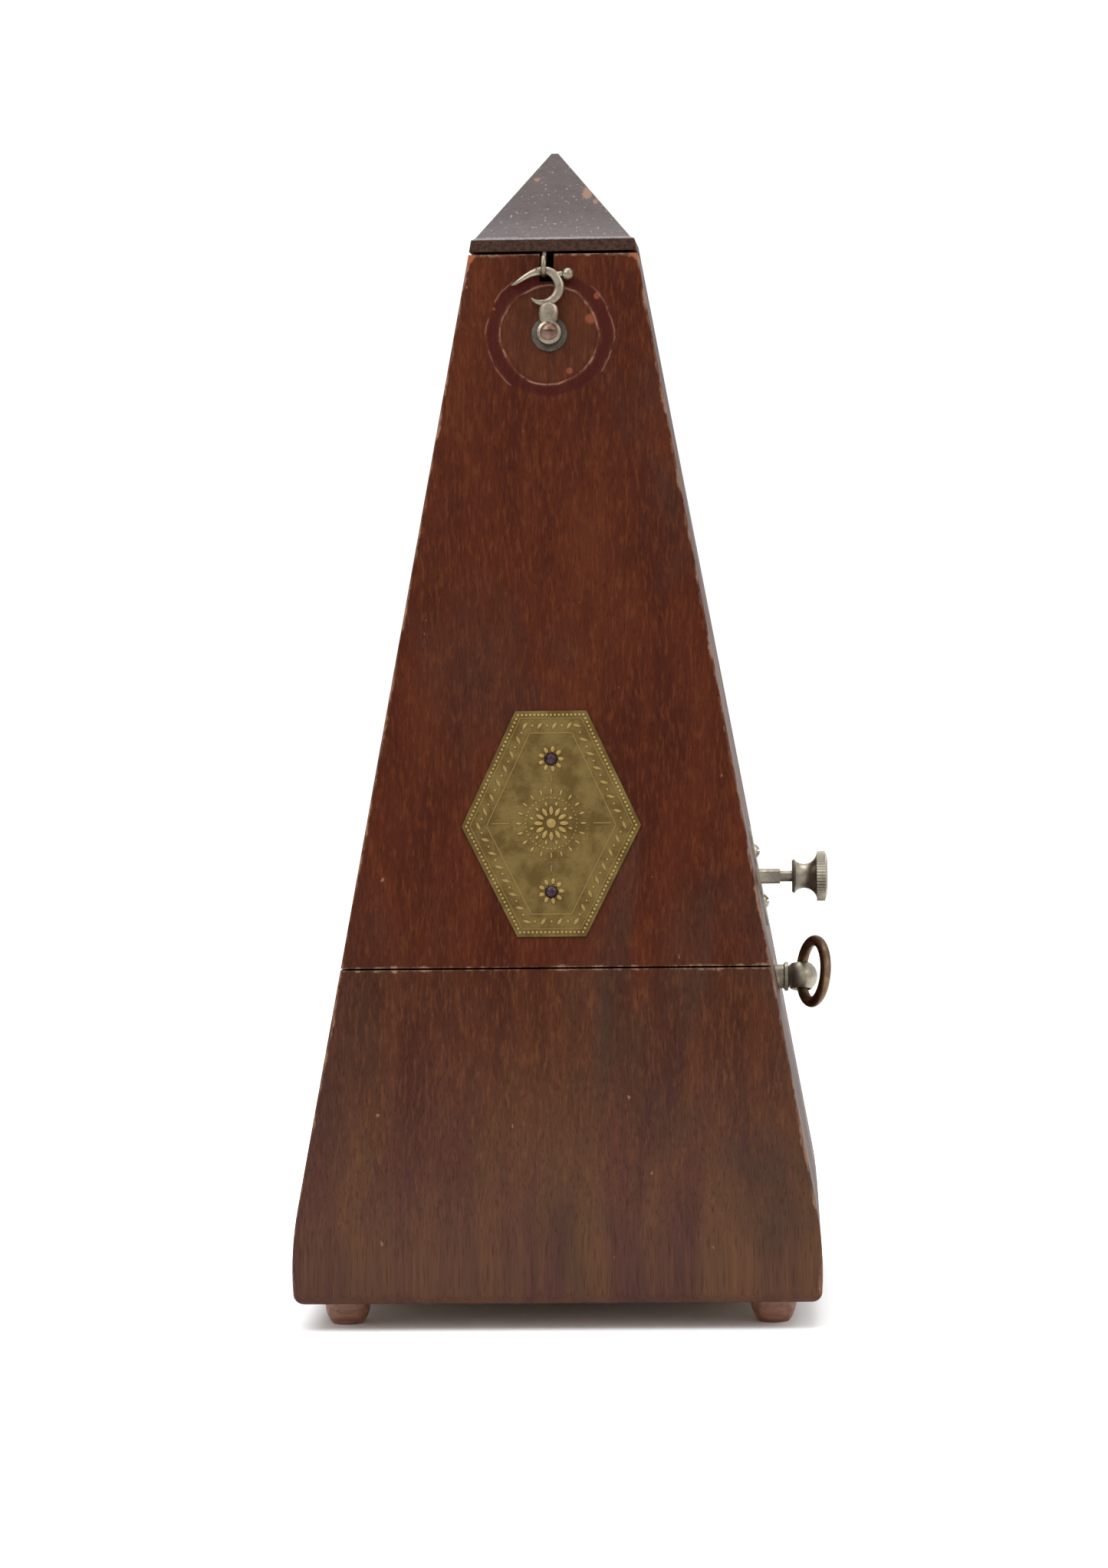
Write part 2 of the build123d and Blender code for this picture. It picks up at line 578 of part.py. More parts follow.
ESCUTCHEON_LONG, ESCUTCHEON_WIDE, ESCUTCHEON_THICK = 19.6, 9.0, 0.45
escutcheon_plane = side_plane(*SELECTOR_AXIS)
escutcheon = escutcheon_plane * Pos(0, 0, ESCUTCHEON_THICK / 2) * Box(
    ESCUTCHEON_WIDE, ESCUTCHEON_LONG, ESCUTCHEON_THICK
)
escutcheon -= bar_x(1.65, 30, 50, SELECTOR_AXIS)
right_panel -= bar_x(1.9, 30, 50, SELECTOR_AXIS)
escutcheon_screws = []
for along in (-5.15, 5.15):
    one = escutcheon_plane * Pos(0, along, ESCUTCHEON_THICK) * slotted_screw(1.5, 1.0, 0.8, 4.0)
    escutcheon_screws.append(one)
    escutcheon -= one
    right_panel -= one

tail_run = hypot(ESCAPE_AXIS[0] - SELECTOR_AXIS[0], ESCAPE_AXIS[1] - SELECTOR_AXIS[1])
TAIL_WIDE, TAIL_LONG, ARM_WIDE = 1.2, 31.3, 1.6
tail_angle = direction(SELECTOR_AXIS, ESCAPE_AXIS) - asin((CAM_RADIUS + TAIL_WIDE / 2 + 0.2) / tail_run)
SLEEVE_RADIUS, SLEEVE_LEFT, HAMMER_X = 2.2, -26.0, -24.0
sleeve = bar_x(SLEEVE_RADIUS, SLEEVE_LEFT, TAIL_X + 0.6, SELECTOR_AXIS)
tail_face = strip_face((0, 0), polar(TAIL_LONG, tail_angle), TAIL_WIDE)
tail = plate_x(tail_face, TAIL_X - 0.5, TAIL_X + 0.5, SELECTOR_AXIS)
head_y = BELL_AXIS[0] - BELL_RADIUS - 0.35
arm_end = (head_y - 1.5 - SELECTOR_AXIS[0], BELL_AXIS[1] - SELECTOR_AXIS[1])
arm = plate_x(strip_face((0, 0), arm_end, ARM_WIDE), HAMMER_X - 0.5, HAMMER_X + 0.5, SELECTOR_AXIS)
head = bar_y(2.0, head_y - 3.2, head_y, HAMMER_X, BELL_AXIS[1])
bell_hammer = sleeve + tail + arm + head - bar_x(ROD_RADIUS + 0.1, -40, 40, SELECTOR_AXIS)
hammer_spring = bar_x(2.5, -28.6, -27.2, SELECTOR_AXIS) + extrude(
    Plane.XZ.offset(1.1)
    * outline((-28.4, 83), (-27.2, 83), (-27.2, 77.6), (-22.8, 77.6), (-22.8, 76), (-28.4, 76)),
    0.4,
)
hammer_spring -= bar_x(ROD_RADIUS, -30, -26, SELECTOR_AXIS)

# ---------------------------------------------------------------- pendulum


def rod_plane(z):
    """On the pendulum rod at height z: right, up the rod and outwards."""
    return face_plane(0, z, ROD_DEPTH)


def along_rod(width, low, high, thick, lift=0.0):
    """A flat bar that follows the rod between two heights."""
    plane = rod_plane((low + high) / 2)
    return plane * Pos(0, 0, lift) * Box(width, (high - low) / cos(LEAN), thick)


pendulum_rod = along_rod(ROD_WIDTH, ROD_LOW, ROD_HIGH, ROD_THICK)
ROD_Y = -half_width(VERGE_Z) + ROD_DEPTH
hub = along_rod(6.4, VERGE_Z - 4, VERGE_Z + 4, 3.2) - pendulum_rod
verge_arbor = bar_y(1.0, ROD_Y - 2.6, -7.4, 0, VERGE_Z) + hub
pendulum_rod -= verge_arbor
PALLET_LOW = ESCAPE_AXIS[1] + ESCAPE_RADIUS + 0.5
rocker = block(-5.6, 5.6, -21.5, -18.5, VERGE_Z - 2.2, VERGE_Z - 0.6) + bar_y(2.2, -22.5, -17.5, 0, VERGE_Z)
for side in (-1, 1):
    x = side * ESCAPE_WHEELS
    rocker += block(x - 0.8, x + 0.8, -20.6, -19.4, PALLET_LOW, VERGE_Z - 2)
pallet_rocker = rocker - bar_y(1.0, -40, 0, 0, VERGE_Z)
counterweight = rod_plane(COUNTER_Z) * Cylinder(COUNTER_RADIUS, COUNTER_THICK)
counterweight -= along_rod(ROD_WIDTH, ROD_LOW, ROD_HIGH, ROD_THICK)

weight_plane = rod_plane(WEIGHT_Z)
weight_face = outline((-6, -7), (6, -7), (4.6, 8), (-4.6, 8))
sliding_weight = weight_plane * extrude(weight_face, 3, both=True)
sliding_weight = chamfer(sliding_weight.edges().group_by(Axis.Y)[0], 0.4)
sliding_weight -= along_rod(ROD_WIDTH + 0.3, ROD_LOW, ROD_HIGH, ROD_THICK + 0.3)

# ---------------------------------------------------------------- door

door_low = SEAM_Z + SEAM_GAP / 2
door_panel = between_x((-1, 0), (1, 0), door_low, DOOR_TOP)
door_panel &= between_y((-1, 0), (-1, WALL), door_low, DOOR_TOP)
door_panel -= block(NOTCH_LEFT, NOTCH_RIGHT, -DEEP, 0, DOOR_TOP - NOTCH_DEPTH, DOOR_TOP + 1)
rails = [
    between_x((side, WALL), (side, 0), door_low, DOOR_TOP)
    & between_y((-1, WALL), (-1, DOOR_DEPTH), door_low, DOOR_TOP)
    for side in (-1, 1)
]
PIN_Z, PIN_RADIUS = 78.0, 1.2
pin_x = half_width(PIN_Z) - WALL / 2
pin_front = -half_width(PIN_Z) + DOOR_DEPTH - 5
door_pins = []
for side in (-1, 1):
    door_pins.append(bar_y(PIN_RADIUS, pin_front, pin_front + 9, side * pin_x, PIN_Z))
rails = [rail - pin for rail, pin in zip(rails, door_pins)]
left_panel -= bar_y(PIN_RADIUS + 0.15, pin_front, pin_front + 10, -pin_x, PIN_Z)
right_panel -= bar_y(PIN_RADIUS + 0.15, pin_front, pin_front + 10, pin_x, PIN_Z)

NAME_X, NAME_HIGH, NAME_MIDDLE, NAME_LOW = -0.7, 119.2, 96.8, 75.4
NAME_THICK = 0.4
name_plate = extrude(
    Plane.XZ
    * outline(
        (NAME_X - 7.0, NAME_HIGH),
        (NAME_X + 7.0, NAME_HIGH),
        (NAME_X + 17.6, NAME_MIDDLE),
        (NAME_X + 6.7, NAME_LOW),
        (NAME_X - 6.7, NAME_LOW),
        (NAME_X - 17.6, NAME_MIDDLE),
    ),
    DEEP,
    both=True,
) & between_y((-1, -NAME_THICK), (-1, 0), 70, 125)
nails = []
for z in (109.8, 84.2):
    nail = Sphere(1.3) & Pos(0, 0, 1.3) * Box(4, 4, 2.0)
    nail = Pos(0, 0, -0.1) * nail + Pos(0, 0, -1.5) * Cylinder(0.45, 4.5)
    nails.append(face_plane(NAME_X, z, -NAME_THICK) * (Pos(0, 0, -0.2) * nail))
for nail in nails:
    name_plate -= nail
    door_panel -= nail

latch_plane = face_plane(PIVOT_X, PIVOT_Z)
hook_washer = latch_plane * (Pos(0, 0, 0.25) * Cylinder(3.5, 0.5))
hook_screw = latch_plane * (Pos(0, 0, 2.6) * slotted_screw(1.75, 0.9, 0.9, 6.4))
hook_washer -= hook_screw
door_panel -= hook_screw
HOOK_LOW, HOOK_HIGH = 0.7, 2.4
CURL = (-1.25, 9.3)
THUMB = (3.7, 11.7)
curl_arc = Circle(4.3) - Circle(2.3)
tip_angle = radians(230)
curl_gap = outline((0, 0), polar(9, radians(112)), (-9, 0), polar(9, tip_angle))
hook_face = Circle(2.4) + Pos(0, 3.9) * Rectangle(3.9, 3.8) + Pos(*CURL) * (curl_arc - curl_gap)
hook_face += outline((-0.9, 13.6), (-3.6, 12.7), (-7.5, 9.9), (-7.1, 9.5), (-3.2, 11.0), (-1.4, 11.6))
hook_face += strip_face((2.0, 10.9), THUMB, 1.3)
hook_face -= Circle(1.05)
latch_hook = latch_plane * (Pos(0, 0, HOOK_LOW) * extrude(hook_face, HOOK_HIGH - HOOK_LOW))
latch_hook += latch_plane * (Pos(*THUMB, (HOOK_LOW + HOOK_HIGH) / 2) * Sphere(1.2))

# ---------------------------------------------------------------- lid


def lid_profile():
    edge = half_width(LID_Z)
    shoulder = half_width(LID_Z + LID_RIM)
    foot_z = LID_Z + LID_RIM + 0.4
    half_tip = (APEX_Z - HEIGHT) * (edge - LID_SET_BACK) / (APEX_Z - foot_z)
    right = [(edge, LID_Z), (shoulder, LID_Z + LID_RIM), (edge - LID_SET_BACK, foot_z), (half_tip, HEIGHT)]
    return outline(*right, *[(-x, z) for x, z in reversed(right)])


lid = extrude(Plane.XZ * lid_profile(), DEEP, both=True) & extrude(Plane.YZ * lid_profile(), DEEP, both=True)
lid_eye = bar_z(EYE_WIRE / 2, EYE_LOW, LID_Z + 1.8, EYE_X, EYE_Y)
lid -= lid_eye

hinge_back = half_width(CASE_TOP)
case_leaf = block(-LEAF_HALF, LEAF_HALF, hinge_back - 3.8, HINGE_Y, HINGE_Z - 0.05 - LEAF, HINGE_Z - 0.05)
lid_leaf = block(-LEAF_HALF, LEAF_HALF, hinge_back - 3.8, HINGE_Y, HINGE_Z + 0.05, HINGE_Z + 0.05 + LEAF)
back_panel -= case_leaf
lid -= lid_leaf
MIDDLE_KNUCKLE, HINGE_PIN = 2.9, 0.45


def rolled(leaf, spans):
    """A leaf cut clear of the other's knuckles, with its own rolled on the pin."""
    pin_line = (HINGE_Y, HINGE_Z)
    flat = leaf - bar_x(KNUCKLE_RADIUS + 0.1, -20, 20, pin_line)
    for x0, x1 in spans:
        flat += leaf & block(x0, x1, hinge_back - 1, HINGE_Y, 200, 220)
        flat += bar_x(KNUCKLE_RADIUS, x0, x1, pin_line)
    return flat - bar_x(HINGE_PIN + 0.05, -20, 20, pin_line)


case_leaf = rolled(case_leaf, [(-LEAF_HALF, -MIDDLE_KNUCKLE - 0.1), (MIDDLE_KNUCKLE + 0.1, LEAF_HALF)])
lid_leaf = rolled(lid_leaf, [(-MIDDLE_KNUCKLE, MIDDLE_KNUCKLE)])
hinge_pin = bar_x(HINGE_PIN, -LEAF_HALF - 0.3, LEAF_HALF + 0.3, (HINGE_Y, HINGE_Z))
leaf_screw = Cylinder(0.9, 0.25) + Pos(0, 0, -1.2) * Cylinder(0.5, 2.4)
hinge_screws, lid_hinge_screws = [], []
for x in (-5.5, 5.5):
    hinge_screws.append(Pos(x, hinge_back - 2.2, HINGE_Z - 0.05 - 0.125) * leaf_screw)
    lid_hinge_screws.append(Pos(x, hinge_back - 2.2, HINGE_Z + 0.05 + 0.125) * Rot(180, 0, 0) * leaf_screw)
for one in hinge_screws:
    case_leaf -= one
    back_panel -= one
for one in lid_hinge_screws:
    lid_leaf -= one
    lid -= one

# ---------------------------------------------------------------- output

save("back_panel", back_panel)
save("front_lower_panel", front_lower)
save("left_side_panel", left_panel)
save("right_side_panel", right_panel)
save("bottom_board", bottom_board)
save("feet", *feet)
save("foot_screws", *foot_screws)
save("movement_shelf", shelf)
save("dial_board", dial_board)
save("scale_plate", scale_plate)
save("pendulum_clip", pendulum_clip)
save("frame_plate_left", plate_left)
save("frame_plate_right", plate_right)
save("frame_pillars", *pillars, spring_stud)
save("cross_bar", cross_bar)
save("verge_bridge", verge_bridge)
save("bracket_screws", *bridge_screws, detent_screw)
save("frame_screws", *pillar_screws, *movement_screws)
save("mainspring", mainspring)
save("bell", bell)
save("bell_post", bell_post)
save("detent_spring", detent_spring)
save("key_bush", key_bush)
save("rod_escutcheon", escutcheon)
save("escutcheon_screws", *escutcheon_screws)
save("lid_hinge_lower_leaf", case_leaf)
save("lid_hinge_pin", hinge_pin)
save("lower_leaf_screws", *hinge_screws)
save("door_panel", door_panel)
save("door_rails", *rails)
save("door_pins", *door_pins)
save("name_plate", name_plate)
save("name_plate_nails", *nails)
save("hook_washer", hook_washer)
save("hook_screw", hook_screw)
save("latch_hook", latch_hook)
save("lid", lid)
save("lid_eye", lid_eye)
save("lid_hinge_upper_leaf", lid_leaf)
save("upper_leaf_screws", *lid_hinge_screws)
save("winding_arbor", winding_arbor)
save("winding_key", winding_key)
save("key_ring", key_ring)
save("great_wheel", great_wheel)
save("click", click)
save("second_arbor", second_arbor)
save("second_wheel", second_wheel)
save("escape_arbor", escape_arbor)
save("escape_wheels", escape_left, escape_right)
save("bell_cams", bell_cams)
save("pendulum_rod", pendulum_rod)
save("verge_arbor", verge_arbor)
save("pallet_rocker", pallet_rocker)
save("counterweight", counterweight)
save("sliding_weight", sliding_weight)
save("selector_rod", selector_rod)
save("selector_knob", selector_knob)
save("bell_hammer", bell_hammer)
save("hammer_spring", hammer_spring)
save("click_spring", click_spring)
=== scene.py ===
import json
import math
from math import cos, pi, radians, sin

import bmesh
import bpy
from mathutils import Matrix, Vector


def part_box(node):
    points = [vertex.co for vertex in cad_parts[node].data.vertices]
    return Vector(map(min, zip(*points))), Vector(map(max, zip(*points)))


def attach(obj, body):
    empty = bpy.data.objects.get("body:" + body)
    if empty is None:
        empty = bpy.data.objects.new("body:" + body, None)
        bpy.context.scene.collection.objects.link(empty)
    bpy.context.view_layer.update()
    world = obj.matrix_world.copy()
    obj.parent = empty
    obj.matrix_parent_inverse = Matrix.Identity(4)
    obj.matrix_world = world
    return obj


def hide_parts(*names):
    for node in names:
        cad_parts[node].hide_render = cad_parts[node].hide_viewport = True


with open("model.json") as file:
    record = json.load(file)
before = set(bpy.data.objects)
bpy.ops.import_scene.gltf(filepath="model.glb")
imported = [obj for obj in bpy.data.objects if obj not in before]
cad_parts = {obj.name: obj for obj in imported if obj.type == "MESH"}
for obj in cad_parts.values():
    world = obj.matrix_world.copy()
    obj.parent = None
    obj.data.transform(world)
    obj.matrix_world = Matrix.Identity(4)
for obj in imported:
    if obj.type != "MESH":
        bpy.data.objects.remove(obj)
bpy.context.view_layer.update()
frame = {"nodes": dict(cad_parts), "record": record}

MM = 0.001

# the case, as the CAD builds it
LEAN = radians(10.22)  # each side's slope from upright
SLOPE = 1 / cos(LEAN)  # length up the slope per unit of height
TOP_HALF, TOP_Z = 16.7 * MM, 208.9 * MM  # half width at the case's top
WIDEST = 51.16 * MM  # half width at the flared foot
SEAM = (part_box("front_lower_panel")[1].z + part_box("door_panel")[0].z) / 2
DOOR_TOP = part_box("door_panel")[1].z

PIVOT_X, PIVOT_Z = -0.7 * MM, 193 * MM  # the hook's screw on the door


def half_width(z):
    """Half the case's width at height z, above its flared foot."""
    return TOP_HALF + math.tan(LEAN) * (TOP_Z - z)


# ---------------------------------------------------------------- materials

# the Mix node's sockets when it mixes colours
FACTOR, FIRST, SECOND, MIXED = 0, 6, 7, 2


class Paint:
    """A material under construction: a Principled shader and what feeds it."""

    def __init__(self, name, **settings):
        self.material = bpy.data.materials.new(name)
        self.material.use_nodes = True
        self.tree = self.material.node_tree
        self.shader = next(n for n in self.tree.nodes if n.type == "BSDF_PRINCIPLED")
        for key, value in settings.items():
            self.shader.inputs[key.replace("_", " ")].default_value = value
        self.place = self.node("ShaderNodeTexCoord").outputs["Object"]

    def node(self, kind, inputs=None, **properties):
        made = self.tree.nodes.new(kind)
        for key, value in properties.items():
            setattr(made, key, value)
        for key, value in (inputs or {}).items():
            if isinstance(value, bpy.types.NodeSocket):
                self.tree.links.new(value, made.inputs[key])
            else:
                made.inputs[key].default_value = value
        return made

    def feed(self, key, socket):
        self.tree.links.new(socket, self.shader.inputs[key])

    def axes(self):
        return self.node("ShaderNodeSeparateXYZ", {0: self.place}).outputs

    def math(self, operation, a, b=0.0, c=0.0):
        return self.node("ShaderNodeMath", {0: a, 1: b, 2: c}, operation=operation).outputs[0]

    def plus(self, a, b):
        return self.math("ADD", a, b)

    def minus(self, a, b):
        return self.math("SUBTRACT", a, b)

    def times(self, a, b):
        return self.math("MULTIPLY", a, b)

    def gap(self, a, b):
        """How far apart two values are."""
        return self.math("ABSOLUTE", self.minus(a, b))

    def length(self, across, up):
        return self.math("SQRT", self.plus(self.times(across, across), self.times(up, up)))

    def jitter(self, noise, reach):
        """Noise from 0..1 to -reach..reach."""
        return self.math("MULTIPLY_ADD", noise, 2 * reach, -reach)

    def ramp(self, value, low, high, start=0.0, end=1.0):
        """value from low..high to start..end, smooth and clamped."""
        ports = {"Value": value, "From Min": low, "From Max": high, "To Min": start, "To Max": end}
        made = self.node("ShaderNodeMapRange", ports, interpolation_type="SMOOTHSTEP")
        return made.outputs["Result"]

    def noise(self, scale, detail=3.0, rough=0.55, warp=0.0):
        """Noise with features of 1/scale metres along each axis."""
        spread = self.node("ShaderNodeMapping", {"Vector": self.place, "Scale": scale})
        ports = {
            "Vector": spread.outputs["Vector"],
            "Scale": 1.0,
            "Detail": detail,
            "Roughness": rough,
            "Distortion": warp,
        }
        return self.node("ShaderNodeTexNoise", ports).outputs["Fac"]

    def mix(self, factor, first, second):
        made = self.node("ShaderNodeMix", data_type="RGBA")
        for key, value in ((FACTOR, factor), (FIRST, first), (SECOND, second)):
            if isinstance(value, bpy.types.NodeSocket):
                self.tree.links.new(value, made.inputs[key])
            else:
                made.inputs[key].default_value = (*value, 1.0)
        return made.outputs[MIXED]

    def bump(self, height, distance, strength=1.0):
        ports = {"Height": height, "Distance": distance, "Strength": strength}
        self.feed("Normal", self.node("ShaderNodeBump", ports).outputs["Normal"])


# wear and painted light on the case, as linear colours, and the heights between which a painted
# reflection of the floor greys the wood toward the foot
BARE_EDGE_HIGHLIGHT = (0.21, 0.125, 0.085)
BARE_SPECK = (0.2, 0.1, 0.06)
FLOOR_SHEEN_COOL, FLOOR_SHEEN_WARM = (0.064, 0.034, 0.030), (0.108, 0.058, 0.032)
DARK_STAIN_AND_SHADE = (0.03, 0.02, 0.014)
FLOOR_SHEEN_START, FLOOR_SHEEN_FULL = 75 * MM, 10 * MM

# the ring worn by the hook's thumb ball, about the pivot; the lines along its lip and rim are painted
# highlights
RING_R, RING_INNER_R, RING_OUTER_R = 11.2 * MM, 9.7 * MM, 12.6 * MM
RING_GROOVE = (0.032, 0.0045, 0.0045)
RING_INSIDE = (0.088, 0.047, 0.024)
RING_LIP_HIGHLIGHT, RING_RIM_HIGHLIGHT = (0.2, 0.1, 0.075), (0.2, 0.09, 0.07)
RING_CHIP, DOOR_CORNER = (0.17, 0.045, 0.022), (0.22, 0.07, 0.027)

# chips as (across, up, radius) in millimetres: the door's from the pivot, the lid's from the
# case's axis and the ground
DOOR_CHIPS = ((8.2, 3.0, 1.5), (9.4, 7.6, 0.8), (4.0, -7.2, 0.7), (-11.0, 5.2, 0.5))
LID_CHIPS = ((-3.4, 224.4, 0.9), (6.6, 221.6, 1.3), (8.4, 219.6, 0.9), (-12.6, 211.2, 0.8))

# the lid
LID_DARK, LID_PALE = (0.030, 0.018, 0.017), (0.057, 0.039, 0.038)
LID_CRACK, LID_SPECK = (0.03, 0.018, 0.014), (0.17, 0.145, 0.14)
LID_CHIP, LID_LOW_PALE, LID_SHOULDER_HIGHLIGHT = (0.2, 0.1, 0.055), (0.19, 0.17, 0.17), (0.2, 0.18, 0.18)
RIM_DARK, RIM_PALE = (0.018, 0.0065, 0.0035), (0.04, 0.018, 0.010)
RIM_HEIGHT = 2.7 * MM
LID_GLOSS, RIM_GLOSS = 0.36, 0.12


def edge_distance(paint, front):
    """How far the case's skin is from its nearest corner and, on the front, from the seam and top."""
    x, y, z = paint.axes()
    sloped = paint.math("MULTIPLY_ADD", z, -math.tan(LEAN), half_width(0.0))
    half = paint.math("MINIMUM", sloped, WIDEST)
    inner = paint.math("MINIMUM", paint.math("ABSOLUTE", x), paint.math("ABSOLUTE", y))
    corner = paint.minus(half, inner)
    if not front:
        return corner
    top = paint.minus(DOOR_TOP - 0.1 * MM, z)
    return paint.math("MINIMUM", paint.math("MINIMUM", corner, paint.gap(z, SEAM)), top)


def chipped(paint, colour, place, chips, wobble, strength, bare):
    """Small ragged chips that show the bare wood."""
    for across, up, radius in chips:
        offset = [paint.minus(p, c * MM) for p, c in zip(place, (across, up))]
        away = paint.plus(paint.length(*offset), wobble)
        chip = paint.ramp(away, radius * MM, radius * MM * 0.5)
        colour = paint.mix(paint.times(chip, strength), colour, bare)
    return colour


def case_wood(name, dark, middle, light, scar=False, greyed=0.0, front=True):
    """Stained mahogany with upright grain, worn pale along its edges."""
    paint = Paint(name, Specular_IOR_Level=0.07)
    x, _, z = paint.axes()
    bands = paint.noise((210, 210, 3.5), 5.0, 0.55, 0.25)
    fibres = paint.noise((1500, 1500, 26), 4.0, 0.65)
    pores = paint.noise((3600, 3600, 150), 2.0, 0.5)
    patches = paint.noise((34, 34, 15), 3.0, 0.6, 0.4)

    # the grain, with broad warmer streaks
    colour = paint.mix(paint.ramp(bands, 0.3, 0.7, 0.25, 1.0), dark, middle)
    colour = paint.mix(paint.ramp(fibres, 0.44, 0.74, 0.0, 0.7), colour, light)
    warm = paint.ramp(paint.noise((90, 90, 6), 3.0, 0.5, 0.2), 0.5, 0.68, 0.0, 0.16)
    colour = paint.mix(warm, colour, light)

    # a painted reflection of the floor, paler and greyer toward the foot, and dark stain patches made
    # stronger toward the right as painted shade
    tone = paint.ramp(paint.noise((75, 75, 6), 4.0, 0.6, 0.4), 0.4, 0.6)
    floor_sheen = paint.ramp(z, FLOOR_SHEEN_START, FLOOR_SHEEN_FULL, 0.0, 0.3 + greyed)
    colour = paint.mix(floor_sheen, colour, paint.mix(tone, FLOOR_SHEEN_COOL, FLOOR_SHEEN_WARM))
    stain = paint.ramp(patches, 0.5, 0.68, 0.0, 0.5 + greyed)
    # the stain patches are real; their growth toward the right is painted shade
    shade_rightward = paint.ramp(x, -30 * MM, 42 * MM, 0.35, 1.0)
    colour = paint.mix(paint.times(stain, shade_rightward), colour, DARK_STAIN_AND_SHADE)

    # dark pores and a few pale specks
    colour = paint.mix(paint.ramp(pores, 0.5, 0.7, 0.0, 0.36), colour, [c * 0.4 for c in dark])
    specks = paint.noise((420, 420, 260), 2.0, 0.4)
    colour = paint.mix(paint.ramp(specks, 0.765, 0.79, 0.0, 0.7), colour, BARE_SPECK)

    # edges rubbed bare and painted pale as edge highlights, in a broken line
    ragged = paint.jitter(paint.noise((260, 260, 170), 4.0, 0.7), -1.2 * MM)
    edge = paint.plus(edge_distance(paint, front), ragged)
    broken = paint.ramp(paint.noise((700, 700, 60), 3.0, 0.6), 0.42, 0.6, 0.25, 1.0)
    rubbed_and_highlit = paint.times(paint.ramp(edge, 0.55 * MM, 0.05 * MM, 0.0, 0.8), broken)
    colour = paint.mix(rubbed_and_highlit, colour, BARE_EDGE_HIGHLIGHT)

    height = paint.math("MULTIPLY_ADD", pores, -0.6, paint.times(fibres, 0.5))
    rough = paint.ramp(patches, 0.3, 0.7, 0.36, 0.5)
    if scar:
        colour, height, rough = swing_scar(paint, x, z, colour, height, rough)
    paint.feed("Base Color", colour)
    paint.feed("Roughness", rough)
    paint.bump(height, 0.12 * MM, 0.5)
    return paint.material


def swing_scar(paint, x, z, colour, height, rough):
    """The ring that the hook's thumb ball has worn into the varnish, with painted highlights along its
    lip and outer edge, and the chipped corners.
    """
    across, up = paint.minus(x, PIVOT_X), paint.minus(z, PIVOT_Z)
    wobble = paint.jitter(paint.noise((170, 170, 170), 3.0), 0.8 * MM)
    radius = paint.plus(paint.length(across, up), wobble)

    # the dark groove, the paler varnish inside it, and a painted highlight along its inner lip
    groove = paint.ramp(paint.gap(radius, RING_R), 1.5 * MM, 0.5 * MM)
    colour = paint.mix(paint.times(groove, 0.7), colour, RING_GROOVE)
    inside = paint.ramp(radius, 9.6 * MM, 8.6 * MM, 0.0, 0.12)
    colour = paint.mix(inside, colour, RING_INSIDE)
    lip_highlight = paint.ramp(paint.gap(radius, RING_INNER_R), 0.32 * MM, 0.05 * MM)
    ragged = paint.ramp(paint.noise((300, 300, 300), 3.0), 0.4, 0.6, 0.1, 0.8)
    colour = paint.mix(paint.times(lip_highlight, ragged), colour, RING_LIP_HIGHLIGHT)
    colour = chipped(paint, colour, (across, up), DOOR_CHIPS, wobble, 0.75, RING_CHIP)

    # the door's two top corners, then a faint painted highlight along the ring's outer edge
    corner = paint.minus(TOP_HALF + 0.1 * MM, paint.math("ABSOLUTE", x))
    corner = paint.plus(corner, paint.minus(DOOR_TOP, z))
    corner = paint.plus(corner, paint.times(wobble, 2.0))
    colour = paint.mix(paint.ramp(corner, 2.4 * MM, 1.6 * MM), colour, DOOR_CORNER)
    outer_highlight = paint.ramp(paint.gap(radius, RING_OUTER_R), 0.25 * MM, 0.05 * MM)
    faint = paint.ramp(paint.noise((230, 230, 230), 3.0), 0.5, 0.62, 0.0, 0.45)
    colour = paint.mix(paint.times(outer_highlight, faint), colour, RING_RIM_HIGHLIGHT)

    height = paint.minus(height, paint.times(groove, 2.4))
    rough = paint.minus(rough, paint.times(groove, 0.16))
    return colour, height, rough


